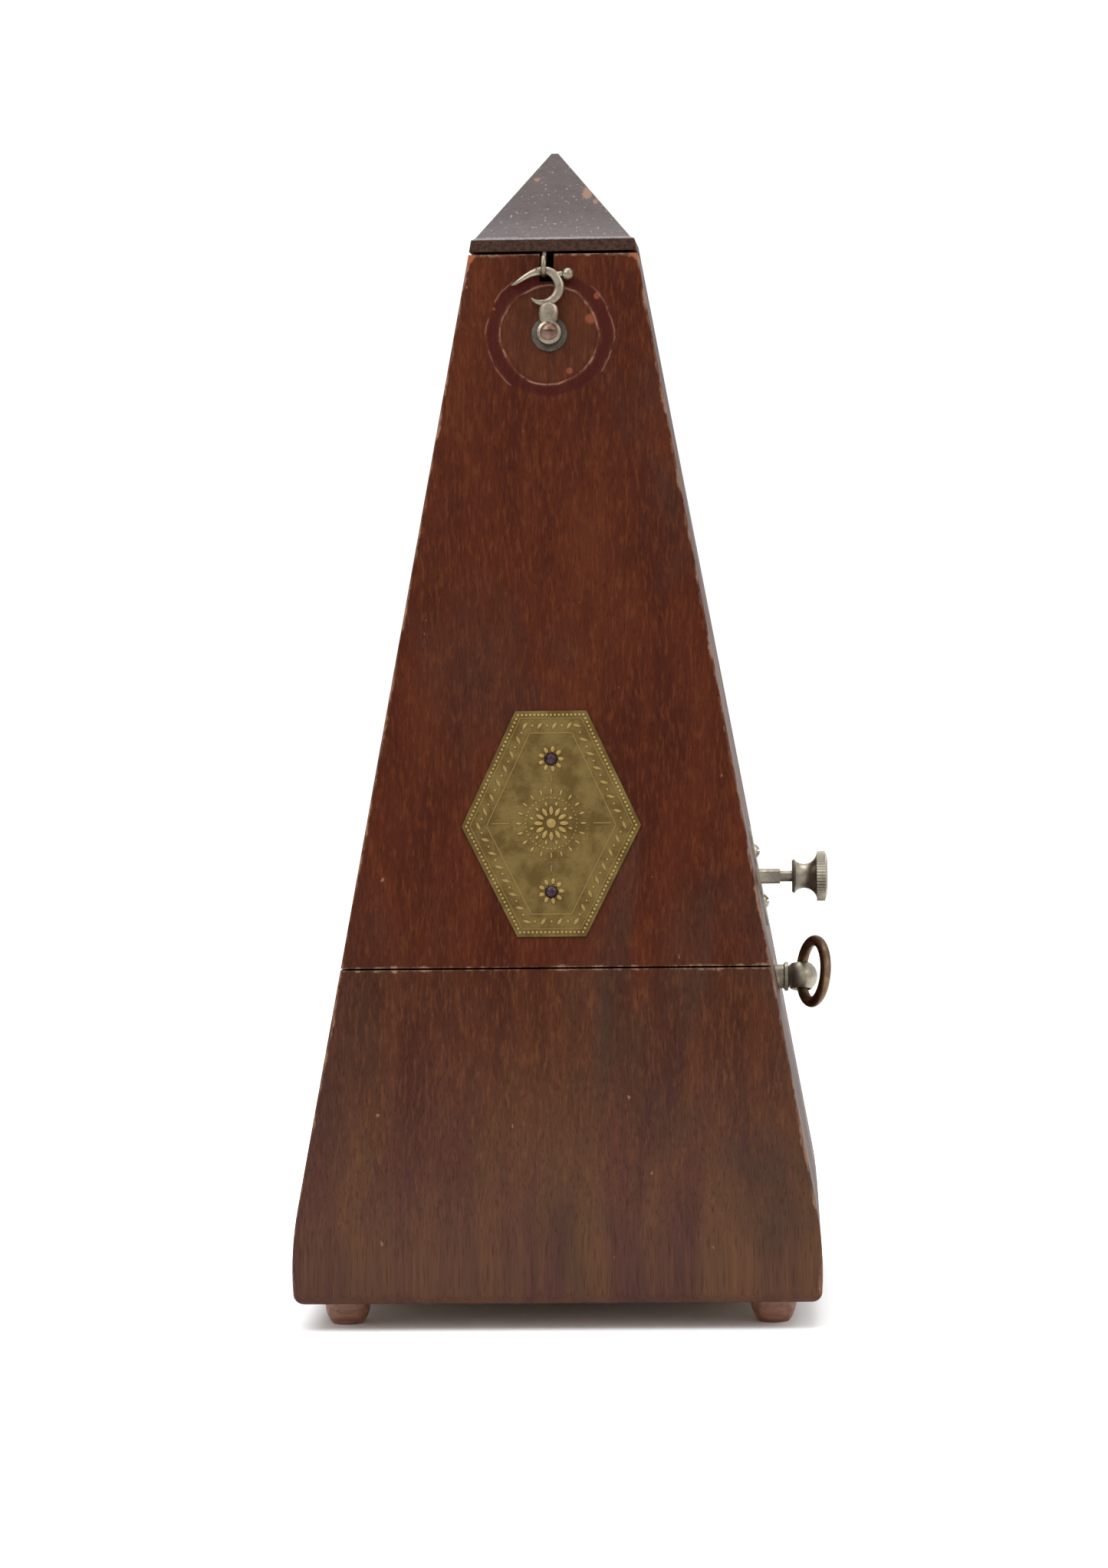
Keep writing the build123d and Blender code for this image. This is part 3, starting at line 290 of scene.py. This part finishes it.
def lid_wood():
    """Old varnish gone dark and grey, with pale specks, orange chips and a brown rim."""
    paint = Paint("lid_wood")
    x, _, z = paint.axes()
    mottle = paint.noise((260, 260, 330), 5.0, 0.7)
    crackle = paint.noise((1100, 1100, 1500), 4.0, 0.7)
    colour = paint.mix(paint.ramp(mottle, 0.34, 0.66), LID_DARK, LID_PALE)
    colour = paint.mix(paint.ramp(crackle, 0.45, 0.7, 0.0, 0.5), colour, LID_CRACK)
    specks = paint.noise((1500, 1500, 1900), 1.0, 0.3)
    colour = paint.mix(paint.ramp(specks, 0.67, 0.74, 0.0, 0.8), colour, LID_SPECK)
    wobble = paint.jitter(mottle, 1.5 * MM)
    colour = chipped(paint, colour, (x, z), LID_CHIPS, wobble, 0.8, LID_CHIP)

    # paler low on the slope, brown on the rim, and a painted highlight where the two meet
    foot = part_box("lid")[0].z
    paler_low = paint.ramp(z, foot + 9 * MM, foot + 2.5 * MM, 0.0, 0.22)
    colour = paint.mix(paler_low, colour, LID_LOW_PALE)
    rim = paint.ramp(z, foot + RIM_HEIGHT, foot + RIM_HEIGHT - 0.6 * MM)
    brown = paint.mix(paint.ramp(crackle, 0.4, 0.6), RIM_DARK, RIM_PALE)
    colour = paint.mix(rim, colour, brown)
    ragged = paint.jitter(crackle, 0.45 * MM)
    shoulder_highlight = paint.plus(paint.gap(z, foot + RIM_HEIGHT - 0.1 * MM), ragged)
    colour = paint.mix(paint.ramp(shoulder_highlight, 0.35 * MM, 0.05 * MM, 0.0, 0.65), colour, LID_SHOULDER_HIGHLIGHT)

    paint.feed("Base Color", colour)
    gloss = paint.math("MULTIPLY_ADD", rim, RIM_GLOSS - LID_GLOSS, LID_GLOSS)
    paint.feed("Specular IOR Level", gloss)
    paint.feed("Roughness", paint.ramp(mottle, 0.3, 0.7, 0.42, 0.6))
    paint.bump(paint.plus(mottle, paint.times(crackle, 0.5)), 0.25 * MM, 0.6)
    return paint.material


def plain_wood(name, dark, light, rough=0.6):
    """Turned or sawn wood with its grain along X."""
    paint = Paint(name, Roughness=rough)
    grain = paint.noise((45, 900, 900), 4.0, 0.6, 0.3)
    pores = paint.noise((160, 2600, 2600), 2.0)
    colour = paint.mix(paint.ramp(grain, 0.35, 0.65), dark, light)
    colour = paint.mix(paint.ramp(pores, 0.55, 0.7, 0.0, 0.5), colour, [c * 0.5 for c in dark])
    paint.feed("Base Color", colour)
    paint.bump(pores, 0.1 * MM, 0.4)
    return paint.material


def metal(name, clean, tarnish, rough=(0.3, 0.5), spots=0.6, raised=False):
    """A metal under an uneven tarnish, with small dark spots.

    raised is for the name plate: what stands above its face is rubbed bright and lightened further as a
    painted highlight.
    """
    paint = Paint(name, Metallic=1.0)
    cloud = paint.noise((225, 225, 225), 4.0, 0.6)
    grain = paint.noise((2160, 2160, 2160), 3.0, 0.7)
    colour = paint.mix(paint.ramp(cloud, 0.35, 0.65), tarnish, clean)
    colour = paint.mix(paint.ramp(grain, 0.58, 0.74, 0.0, spots), colour, [c * 0.35 for c in tarnish])
    if raised:
        _, y, z = paint.axes()
        lifted = paint.math("MULTIPLY_ADD", y, -cos(LEAN), -half_width(0) * cos(LEAN))
        lifted = paint.math("MULTIPLY_ADD", z, sin(LEAN), lifted)
        # the relief is rubbed bright and also lightened as a painted highlight
        raised_rubbed_and_highlit = paint.ramp(lifted, 0.42 * MM, 0.62 * MM)
        colour = paint.mix(raised_rubbed_and_highlit, colour, [c * 1.55 for c in clean])
    paint.feed("Base Color", colour)
    paint.feed("Roughness", paint.ramp(cloud, 0.3, 0.7, rough[1], rough[0]))
    paint.bump(grain, 0.04 * MM, 0.5)
    return paint.material


def enamel(name, base, stain):
    """Painted sheet, stained unevenly with age."""
    paint = Paint(name, Roughness=0.45)
    cloud = paint.noise((220, 220, 160), 4.0, 0.6)
    paint.feed("Base Color", paint.mix(paint.ramp(cloud, 0.45, 0.75, 0.0, 0.6), base, stain))
    paint.bump(cloud, 0.05 * MM, 0.3)
    return paint.material


# the case's grain, dark to light; the lower panel has gone browner
GRAIN = (0.028, 0.0045, 0.0016), (0.053, 0.0106, 0.0034), (0.09, 0.0235, 0.0070)
LOWER_GRAIN = (0.026, 0.0055, 0.0019), (0.05, 0.0125, 0.0046), (0.098, 0.031, 0.0115)

DOOR_WOOD = case_wood("door_wood", *GRAIN, scar=True)
SIDE_WOOD = case_wood("side_wood", *GRAIN, front=False)
LOWER_WOOD = case_wood("lower_wood", *LOWER_GRAIN, greyed=0.2)
FOOT_WOOD = plain_wood("foot_wood", (0.15, 0.058, 0.034), (0.25, 0.11, 0.066), 0.5)
INNER_WOOD = plain_wood("inner_wood", (0.25, 0.13, 0.06), (0.4, 0.24, 0.13))
LID_WOOD = lid_wood()

# each metal: clean colour, tarnish, roughness from clean to tarnished, dark spots
PLATE_BRASS = metal("plate_brass", (0.17, 0.117, 0.041), (0.095, 0.061, 0.02), (0.4, 0.55), raised=True)
MOVEMENT_BRASS = metal("movement_brass", (0.72, 0.53, 0.22), (0.5, 0.34, 0.13), (0.22, 0.4), 0.4)
NICKEL = metal("nickel", (0.36, 0.325, 0.265), (0.21, 0.183, 0.142), (0.34, 0.52), 0.7)
HOOK_NICKEL = metal("hook_plating", (0.27, 0.23, 0.18), (0.12, 0.09, 0.06), (0.3, 0.45), 0.8)
DULL_NICKEL = metal("dull_nickel", (0.15, 0.14, 0.115), (0.07, 0.062, 0.05), (0.4, 0.55), 0.8)
BRONZE = metal("ring_bronze", (0.2, 0.135, 0.08), (0.1, 0.06, 0.035), (0.3, 0.5))
IRON = metal("weight_metal", (0.24, 0.24, 0.25), (0.15, 0.15, 0.16), (0.5, 0.65))
STEEL = metal("steel", (0.36, 0.35, 0.35), (0.2, 0.18, 0.17), (0.25, 0.45), 0.5)
NAIL = metal("plate_nail", (0.07, 0.045, 0.06), (0.035, 0.02, 0.026), (0.3, 0.45))
SCREW = metal("aged_screw", (0.19, 0.12, 0.09), (0.09, 0.05, 0.035), (0.3, 0.5))

SCALE = enamel("scale_enamel", (0.66, 0.6, 0.46), (0.42, 0.33, 0.2))
INK = Paint("scale_ink", Base_Color=(0.02, 0.018, 0.016, 1.0), Roughness=0.6).material

BY_SLOT = {
    "case_wood": SIDE_WOOD,
    "lid_wood": LID_WOOD,
    "foot_wood": FOOT_WOOD,
    "inner_wood": INNER_WOOD,
    "plate_brass": PLATE_BRASS,
    "movement_brass": MOVEMENT_BRASS,
    "nickel": NICKEL,
    "ring_bronze": BRONZE,
    "weight_metal": IRON,
    "scale_metal": SCALE,
    "steel": STEEL,
}
BY_NODE = {
    "door_panel": DOOR_WOOD,
    "front_lower_panel": LOWER_WOOD,
    "name_plate_nails": NAIL,
    "hook_screw": SCREW,
    "hook_washer": DULL_NICKEL,
}
slots = {part["node"]: part["material_slot"] for part in frame["record"]["subparts"]}
for name, node in frame["nodes"].items():
    node.data.materials.clear()
    node.data.materials.append(BY_NODE.get(name, BY_SLOT[slots[name]]))


def soften(node_name, width):
    """Round a CAD node's sharp edges, as handling does."""
    bevel = frame["nodes"][node_name].modifiers.new("rounded", "BEVEL")
    bevel.width, bevel.segments = width, 3
    bevel.limit_method, bevel.angle_limit = "ANGLE", radians(35)


for name in ("door_panel", "front_lower_panel", "left_side_panel", "right_side_panel", "back_panel"):
    soften(name, 0.35 * MM)
soften("lid", 0.55 * MM)


# ---------------------------------------------------------------- meshes

SINK = 0.05 * MM  # how deep a raised detail is let into the face under it


def add_mesh(name, mesh, material, smooth=True):
    """An object from a bmesh, with its normals outward."""
    bmesh.ops.recalc_face_normals(mesh, faces=mesh.faces)
    data = bpy.data.meshes.new(name)
    mesh.to_mesh(data)
    mesh.free()
    for polygon in data.polygons:
        polygon.use_smooth = smooth
    data.materials.append(material)
    made = bpy.data.objects.new(name, data)
    bpy.context.scene.collection.objects.link(made)
    return made


def circle(steps):
    """The angles of evenly spaced points round a circle."""
    return [2 * pi * k / steps for k in range(steps)]


def tube(mesh, path, radii, closed=False, sides=20, squash=None):
    """A bar along a path: round, or with squash (a direction, half thicknesses) flattened that way."""
    count = len(path)
    facing, depths = squash if squash else (Vector((1, 0, 0)), radii)
    rings = []
    for i, point in enumerate(path):
        before = path[(i - 1) % count] if closed or i > 0 else point
        after = path[(i + 1) % count] if closed or i < count - 1 else point
        heading = (after - before).normalized()
        across = heading.cross(facing).normalized() * radii[i]
        out = across.cross(heading).normalized() * depths[i]
        rings.append([mesh.verts.new(point + across * cos(a) + out * sin(a)) for a in circle(sides)])
    for i in range(count if closed else count - 1):
        here, there = rings[i], rings[(i + 1) % count]
        for k in range(sides):
            after = (k + 1) % sides
            mesh.faces.new((here[k], here[after], there[after], there[k]))
    if not closed:
        mesh.faces.new(rings[0])
        mesh.faces.new(rings[-1])


def revolve(mesh, place, profile, sides=40):
    """A closed turned solid: profile is (radius, height) from pole to pole along place's Z."""
    rings = []
    for radius, height in profile:
        angles = circle(sides) if radius else [0.0]
        ring = [Vector((radius * cos(a), radius * sin(a), height)) for a in angles]
        rings.append([mesh.verts.new(place @ point) for point in ring])
    for here, there in zip(rings, rings[1:]):
        for k in range(sides):
            after = (k + 1) % sides
            if len(here) == 1:
                mesh.faces.new((here[0], there[k], there[after]))
            elif len(there) == 1:
                mesh.faces.new((here[k], here[after], there[0]))
            else:
                mesh.faces.new((here[k], here[after], there[after], there[k]))


def prism(mesh, place, outline, low, high, shrink=0.0):
    """A solid between two copies of an outline, the upper one drawn in by shrink."""
    centre = sum((Vector((*p, 0)) for p in outline), Vector()) / len(outline)
    bottom = [mesh.verts.new(place @ Vector((*p, low))) for p in outline]
    top = []
    for p in outline:
        inward = (centre - Vector((*p, 0))).normalized() * shrink
        top.append(mesh.verts.new(place @ Vector((p[0] + inward.x, p[1] + inward.y, high))))
    mesh.faces.new(bottom)
    mesh.faces.new(top)
    for i in range(len(outline)):
        j = (i + 1) % len(outline)
        mesh.faces.new((bottom[i], bottom[j], top[j], top[i]))


def bar(mesh, place, a, b, width, base, height):
    """A straight raised line from a to b."""
    a, b = Vector(a), Vector(b)
    side = Vector((a.y - b.y, b.x - a.x)).normalized() * width / 2
    outline = [tuple(a + side), tuple(b + side), tuple(b - side), tuple(a - side)]
    prism(mesh, place, outline, base - SINK, base + height)


def face_frame(x, z):
    """On the door's face at x, z: X to the right, Y up the slope, Z outward."""
    right = Vector((1, 0, 0))
    up = Vector((0, sin(LEAN), cos(LEAN)))
    out = Vector((0, -cos(LEAN), sin(LEAN)))
    turn = Matrix((right, up, out)).transposed().to_4x4()
    return Matrix.Translation((x, -half_width(z), z)) @ turn


def inset(outline, amount):
    """A convex outline with every side moved inward by amount."""
    count = len(outline)
    centre = Vector((sum(p[0] for p in outline), sum(p[1] for p in outline))) / count
    lines = []
    for i in range(count):
        a, b = Vector(outline[i]), Vector(outline[(i + 1) % count])
        normal = Vector((a.y - b.y, b.x - a.x)).normalized()
        if normal.dot(centre - a) < 0:
            normal.negate()
        lines.append((a + normal * amount, b - a))
    moved = []
    for i in range(count):
        (p, d), (q, e) = lines[i - 1], lines[i]
        step = ((q.x - p.x) * e.y - (q.y - p.y) * e.x) / (d.x * e.y - d.y * e.x)
        moved.append((p.x + d.x * step, p.y + d.y * step))
    return moved


def along(outline, pitch):
    """Evenly spaced points round an outline, corners included, with each side's direction."""
    found = []
    for i in range(len(outline)):
        a, b = Vector(outline[i]), Vector(outline[(i + 1) % len(outline)])
        steps = max(1, round((b - a).length / pitch))
        found += [(a.lerp(b, k / steps), (b - a).normalized()) for k in range(steps)]
    return found


# ---------------------------------------------------------------- the name plate

PLATE_X, PLATE_MID_Z = -0.7 * MM, 97.3 * MM
PLATE_HALF = [(7.0 * MM, 119.2 * MM), (17.6 * MM, 96.8 * MM), (6.7 * MM, 75.4 * MM)]  # right corners
PLATE_THICK = 0.4 * MM

# how far in from the plate's edge each part of its border runs, and how closely it is spaced
BEADS_IN, BEADS_PITCH = 0.95 * MM, 0.82 * MM
BORDER_IN, BORDER_PITCH = 3.05 * MM, 1.55 * MM
LINES = ((1.6 * MM, 0.16 * MM), (4.5 * MM, 0.22 * MM))  # inset, width
LEAF_LEAN = radians(52)
NAIL_R = 1.3 * MM

# rings of petals: how many, then in millimetres reach, half width, lengthening (a factor), height,
# and the turn in petals
ROSETTE = (9, 1.95, 0.46, 1.6, 0.3, 0.0)
SUN = (
    (12, 2.5, 0.48, 2.2, 0.34, 0.0),
    (12, 3.9, 0.3, 1.8, 0.26, 0.5),
    (40, 5.0, 0.2, 1.0, 0.2, 0.0),
    (20, 6.3, 0.26, 3.0, 0.22, 0.0),
    (20, 7.2, 0.16, 1.0, 0.16, 0.5),
)
RAY_START, RAY_ACROSS, RAY_UP, RAY_WIDTH = 8.2 * MM, 11.6 * MM, 9.4 * MM, 0.2 * MM

plate_place = face_frame(PLATE_X, PLATE_MID_Z)
plate_outline = [(x, (z - PLATE_MID_Z) * SLOPE) for x, z in PLATE_HALF]
plate_outline += [(-x, y) for x, y in reversed(plate_outline)]


def stud(mesh, x, y, radius, height, sides=10, lengthen=1.0, turn=0.0):
    """A low domed stud on the plate, round or drawn out along a direction."""
    seat = plate_place @ Matrix.Translation((x, y, PLATE_THICK)) @ Matrix.Rotation(turn, 4, "Z")
    seat = seat @ Matrix.Diagonal((lengthen, 1, 1, 1))
    dome = [(0, -SINK), (radius, -SINK), (radius, 0.0), (radius * 0.8, height * 0.6), (0, height)]
    revolve(mesh, seat, dome, sides)


def petals(mesh, count, reach, width, lengthen, height, turn, up=0.0):
    """A ring of domed petals on the plate, each pointing outward, about a point up from its middle."""
    for k in range(count):
        angle = 2 * pi * (k + turn) / count
        x, y = reach * MM * cos(angle), up + reach * MM * sin(angle)
        stud(mesh, x, y, width * MM, height * MM, lengthen=lengthen, turn=angle)


def border(mesh):
    """Beads round the rim, two plain lines, and a running border of leaves and dots between them."""
    for point, _ in along(inset(plate_outline, BEADS_IN), BEADS_PITCH):
        stud(mesh, point.x, point.y, 0.32 * MM, 0.26 * MM, 8)
    for depth, width in LINES:
        line = inset(plate_outline, depth)
        for a, b in zip(line, line[1:] + line[:1]):
            bar(mesh, plate_place, a, b, width, PLATE_THICK, 0.13 * MM)
    for i, (point, way) in enumerate(along(inset(plate_outline, BORDER_IN), BORDER_PITCH)):
        if i % 2:
            stud(mesh, point.x, point.y, 0.3 * MM, 0.2 * MM, 8)
        else:
            turn = math.atan2(way.y, way.x) + LEAF_LEAN
            stud(mesh, point.x, point.y, 0.4 * MM, 0.22 * MM, 8, 2.5, turn)


def medallion(mesh):
    """A plain sun: a boss, two rings of petals, a beaded ring and rays."""
    stud(mesh, 0, 0, 1.1 * MM, 0.5 * MM, 20)
    for ring in SUN:
        petals(mesh, *ring)
    for side in (-1, 1):
        start, end = side * RAY_START, side * RAY_ACROSS
        bar(mesh, plate_place, (start, 0), (end, 0), RAY_WIDTH, PLATE_THICK, 0.16 * MM)
        bar(mesh, plate_place, (0, start), (0, side * RAY_UP), RAY_WIDTH, PLATE_THICK, 0.16 * MM)


def name_plate():
    """The brass plate with its border, a rosette round each nail, and the medallion."""
    mesh = bmesh.new()
    prism(mesh, plate_place, plate_outline, 0.03 * MM, PLATE_THICK, shrink=0.12 * MM)
    border(mesh)
    low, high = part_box("name_plate_nails")
    for z in (high.z - NAIL_R, low.z + NAIL_R):
        petals(mesh, *ROSETTE, up=(z - PLATE_MID_Z) * SLOPE)
    medallion(mesh)
    return add_mesh("name_plate_relief", mesh, PLATE_BRASS, smooth=False)


plate = name_plate()
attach(plate, "door")
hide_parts("name_plate")


# ---------------------------------------------------------------- the hook and its eye

# millimetres on the door's face, right of and up from the pivot; half widths beside them
HOOK_MID = 1.55 * MM  # the hook's mid-thickness, out from the face
BOSS = ((0, 0.7), (2.2, 0.7), (2.5, 0.95), (2.5, 2.1), (2.25, 2.4), (0, 2.4))  # radius, out
COLLAR_UP = (1.9, 2.3, 2.8, 3.9, 5.0, 5.5, 5.9)
COLLAR_HALF = (1.3, 1.75, 1.95, 2.05, 1.95, 1.7, 1.2)
CURL_X, CURL_Z, CURL_R = -1.25, 9.3, 3.3
CURL_FROM, CURL_TO, CURL_STEPS = 228, 472, 26  # degrees
ARM = ((-1.6, 12.45), (-2.5, 12.25), (-3.6, 11.85), (-4.7, 11.25), (-5.8, 10.5), (-6.7, 9.9), (-7.4, 9.6))
ARM_HALF = (0.95, 0.85, 0.72, 0.62, 0.52, 0.42, 0.25)
NECK = ((0.9, 11.6), (2.2, 11.8), (3.4, 11.75))
NECK_HALF = (0.7, 0.55, 0.6)
BALL_X, BALL_Z, BALL_R, BALL_STEPS = 3.75, 11.75, 1.3, 12

EYE_X, EYE_Z = -1.7 * MM, 206.5 * MM
EYE_R, EYE_WIRE = 1.75 * MM, 0.55 * MM
EYE_SIDES, EYE_STEPS = 14, 36
EYE_BACK = 0.7 * MM  # the ring's centre behind the arm's
ARM_UP = 12.4 * MM  # the arm above the pivot where the ring goes round it
SHANK_LOW_Z, SHANK_HIGH_Z = 208.4 * MM, 209.4 * MM  # where the shank turns upright

hook_place = face_frame(PIVOT_X, PIVOT_Z)


def strip(mesh, points, halves, thicknesses):
    """A flattened bar on the door's face through points, with its half widths and half thicknesses."""
    path = [hook_place @ Vector((u * MM, v * MM, HOOK_MID)) for u, v in points]
    outward = (hook_place.to_3x3() @ Vector((0, 0, 1))).normalized()
    tube(mesh, path, [h * MM for h in halves], squash=(outward, [t * MM for t in thicknesses]))


def hook():
    """The forged hook: boss and collar, an open curl, the arm through the eye, and a thumb ball."""
    mesh = bmesh.new()
    revolve(mesh, hook_place, [(r * MM, out * MM) for r, out in BOSS])
    strip(mesh, [(-0.1, up) for up in COLLAR_UP], COLLAR_HALF, [0.9] * len(COLLAR_UP))

    turns = [i / CURL_STEPS for i in range(CURL_STEPS + 1)]
    angles = [radians(CURL_FROM + (CURL_TO - CURL_FROM) * t) for t in turns]
    curl = [(CURL_X + CURL_R * cos(a), CURL_Z + CURL_R * sin(a)) for a in angles]
    swell = [0.28 + 0.78 * sin(0.85 * pi * t**0.8) for t in turns]
    strip(mesh, curl, swell, [0.8] * len(curl))

    strip(mesh, ARM, ARM_HALF, [0.75 * (0.5 + half / 2) for half in ARM_HALF])
    strip(mesh, NECK, NECK_HALF, [0.6] * len(NECK))

    bends = [pi * i / BALL_STEPS for i in range(1, BALL_STEPS)]
    ball = [(BALL_R * MM * sin(a), -BALL_R * MM * cos(a)) for a in bends]
    ball = [(0, -BALL_R * MM), *ball, (0, BALL_R * MM)]
    seat = hook_place @ Matrix.Translation((BALL_X * MM, BALL_Z * MM, HOOK_MID))
    revolve(mesh, seat, ball, 24)
    return add_mesh("hook_forged", mesh, HOOK_NICKEL)


hook_piece = hook()
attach(hook_piece, "latch")
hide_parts("latch_hook")


def eye():
    """A ring of wire round the hook's arm, with a shank up into the lid."""
    mesh = bmesh.new()
    peg_low, peg_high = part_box("lid_eye")
    peg_y = (peg_low.y + peg_high.y) / 2
    arm = hook_place @ Vector((EYE_X - PIVOT_X, ARM_UP, HOOK_MID))
    centre = Vector((EYE_X, arm.y + EYE_BACK, EYE_Z))
    ring = [centre + Vector((0, cos(a), sin(a))) * EYE_R for a in circle(EYE_STEPS)]
    tube(mesh, ring, [EYE_WIRE] * EYE_STEPS, closed=True, sides=EYE_SIDES)
    # from the back of the ring, up to where the CAD's peg goes into the lid
    shank = [
        centre + Vector((0, 0.87 * EYE_R, 0.5 * EYE_R)),
        centre + Vector((0, 1.3 * EYE_R, 0.75 * EYE_R)),
        Vector((EYE_X, peg_y - 0.3 * MM, SHANK_LOW_Z)),
        Vector((EYE_X, peg_y, SHANK_HIGH_Z)),
        Vector((EYE_X, peg_y, peg_high.z)),
    ]
    tube(mesh, shank, [EYE_WIRE] * len(shank), sides=EYE_SIDES)
    return add_mesh("eye_loop", mesh, HOOK_NICKEL)


eye_piece = eye()
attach(eye_piece, "lid")
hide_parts("lid_eye")


# ---------------------------------------------------------------- the scale's printing

SCALE_LOW, SCALE_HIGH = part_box("scale_plate")
SCALE_MARGIN = 4.5 * MM
PRINT_Z = 140 * MM  # the height from which the printing is laid out
TEMPI = (40, 44, 48, 52, 56, 60, 66, 72, 80, 88, 96, 104, 112, 120, 132, 144, 160, 176, 192, 208)
PRINT_THICK = 0.04 * MM
TICK_START, TICK_END, SHORT_TICK_END = 1.6 * MM, 3.4 * MM, 2.4 * MM
DIGIT_X = 5.0 * MM  # middle of a number, from the scale's middle
DIGIT_UNIT = 0.3 * MM
STROKE_WIDTH = 0.13 * MM

# each digit as strokes x1 y1 x2 y2 on a grid 2 wide and 4 high
STROKES = {
    "0": "0004 0424 2420 2000",
    "1": "1014",
    "2": "0424 2422 2202 0200 0020",
    "3": "0424 2420 2000 0222",
    "4": "0402 0222 2420",
    "5": "2404 0402 0222 2220 2000",
    "6": "2404 0400 0020 2022 2202",
    "7": "0424 2410",
    "8": "0004 0424 2420 2000 0222",
    "9": "2202 0204 0424 2420 2000",
}


def digits(mesh, plane, text, u, v, depth):
    """A number about u, v; a digit is 2 units wide and 4 high, and they stand 3 units apart."""
    left = u - DIGIT_UNIT * (len(text) * 3 - 1) / 2
    bottom = v - 2 * DIGIT_UNIT
    for i, digit in enumerate(text):
        start = left + i * 3 * DIGIT_UNIT
        for stroke in STROKES[digit].split():
            x1, y1, x2, y2 = (int(c) * DIGIT_UNIT for c in stroke)
            a, b = (start + x1, bottom + y1), (start + x2, bottom + y2)
            bar(mesh, plane, a, b, STROKE_WIDTH, depth, PRINT_THICK)


def scale_print():
    """Ticks and tempo numbers on the scale's front face, numbered right and left in turn."""
    mesh = bmesh.new()
    plane = face_frame(0, PRINT_Z)
    depth = (plane.inverted() @ Vector((0, SCALE_LOW.y, SCALE_LOW.z))).z
    span = (SCALE_HIGH.z - SCALE_LOW.z - 2 * SCALE_MARGIN) * SLOPE
    base = (SCALE_LOW.z + SCALE_MARGIN - PRINT_Z) * SLOPE
    last = len(TEMPI) - 1
    for i, tempo in enumerate(TEMPI):
        v = base + span * (last - i) / last
        side = -1 if i % 2 else 1
        for way, end, width in ((side, TICK_END, 0.3 * MM), (-side, SHORT_TICK_END, 0.15 * MM)):
            bar(mesh, plane, (way * TICK_START, v), (way * end, v), width, depth, PRINT_THICK)
        digits(mesh, plane, str(tempo), side * DIGIT_X, v, depth)
    return add_mesh("scale_print", mesh, INK, smooth=False)


print_piece = scale_print()
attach(print_piece, "case")


# ---------------------------------------------------------------- floor, light, camera

FLOOR_HALF = 6.0
floor_mesh = bmesh.new()
bmesh.ops.create_grid(floor_mesh, x_segments=1, y_segments=1, size=FLOOR_HALF)
floor_paint = Paint("floor_white", Base_Color=(0.95, 0.95, 0.95, 1.0), Roughness=0.9)
floor = add_mesh("floor", floor_mesh, floor_paint.material, smooth=False)

AIM = Vector((0, 0, 0.12))


def lamp(name, place, size, power):
    """A square area lamp turned to the middle of the case."""
    data = bpy.data.lights.new(name, "AREA")
    data.shape, data.size, data.energy = "SQUARE", size, power
    made = bpy.data.objects.new(name, data)
    made.location = place
    made.rotation_euler = (AIM - Vector(place)).to_track_quat("-Z", "Y").to_euler()
    bpy.context.scene.collection.objects.link(made)


lamp("key", (-0.7, -0.6, 1.2), 0.7, 9)
lamp("fill", (0.9, -0.5, 0.9), 0.6, 5)
lamp("overhead", (0.0, 0.2, 1.4), 1.0, 10)

world = bpy.data.worlds.new("studio")
world.use_nodes = True
background = next(n for n in world.node_tree.nodes if n.type == "BACKGROUND")
background.inputs["Color"].default_value = (1, 1, 1, 1)
background.inputs["Strength"].default_value = 1.08
scene = bpy.context.scene
scene.world = world
scene.view_settings.view_transform = "Standard"

# the camera stands a metre in front, a little to the right, and looks slightly left and down
CAMERA_AT = (0.0430, -1.0, 0.1494)
YAW, PITCH, ROLL = -0.0447, -0.046, -0.012
FOCAL_LENGTH, SENSOR_WIDTH = 113.87, 36

forward = Vector((sin(YAW) * cos(PITCH), cos(YAW) * cos(PITCH), sin(PITCH)))
level = Vector((cos(YAW), -sin(YAW), 0))
upright = level.cross(forward)
right = level * cos(ROLL) + upright * sin(ROLL)
above = upright * cos(ROLL) - level * sin(ROLL)
turned = Matrix((right, above, -forward)).transposed().to_4x4()
lens = bpy.data.cameras.new("camera")
lens.lens, lens.sensor_width = FOCAL_LENGTH, SENSOR_WIDTH
camera = bpy.data.objects.new("camera", lens)
camera.matrix_world = Matrix.Translation(CAMERA_AT) @ turned
scene.collection.objects.link(camera)
scene.camera = camera

bpy.context.view_layer.update()
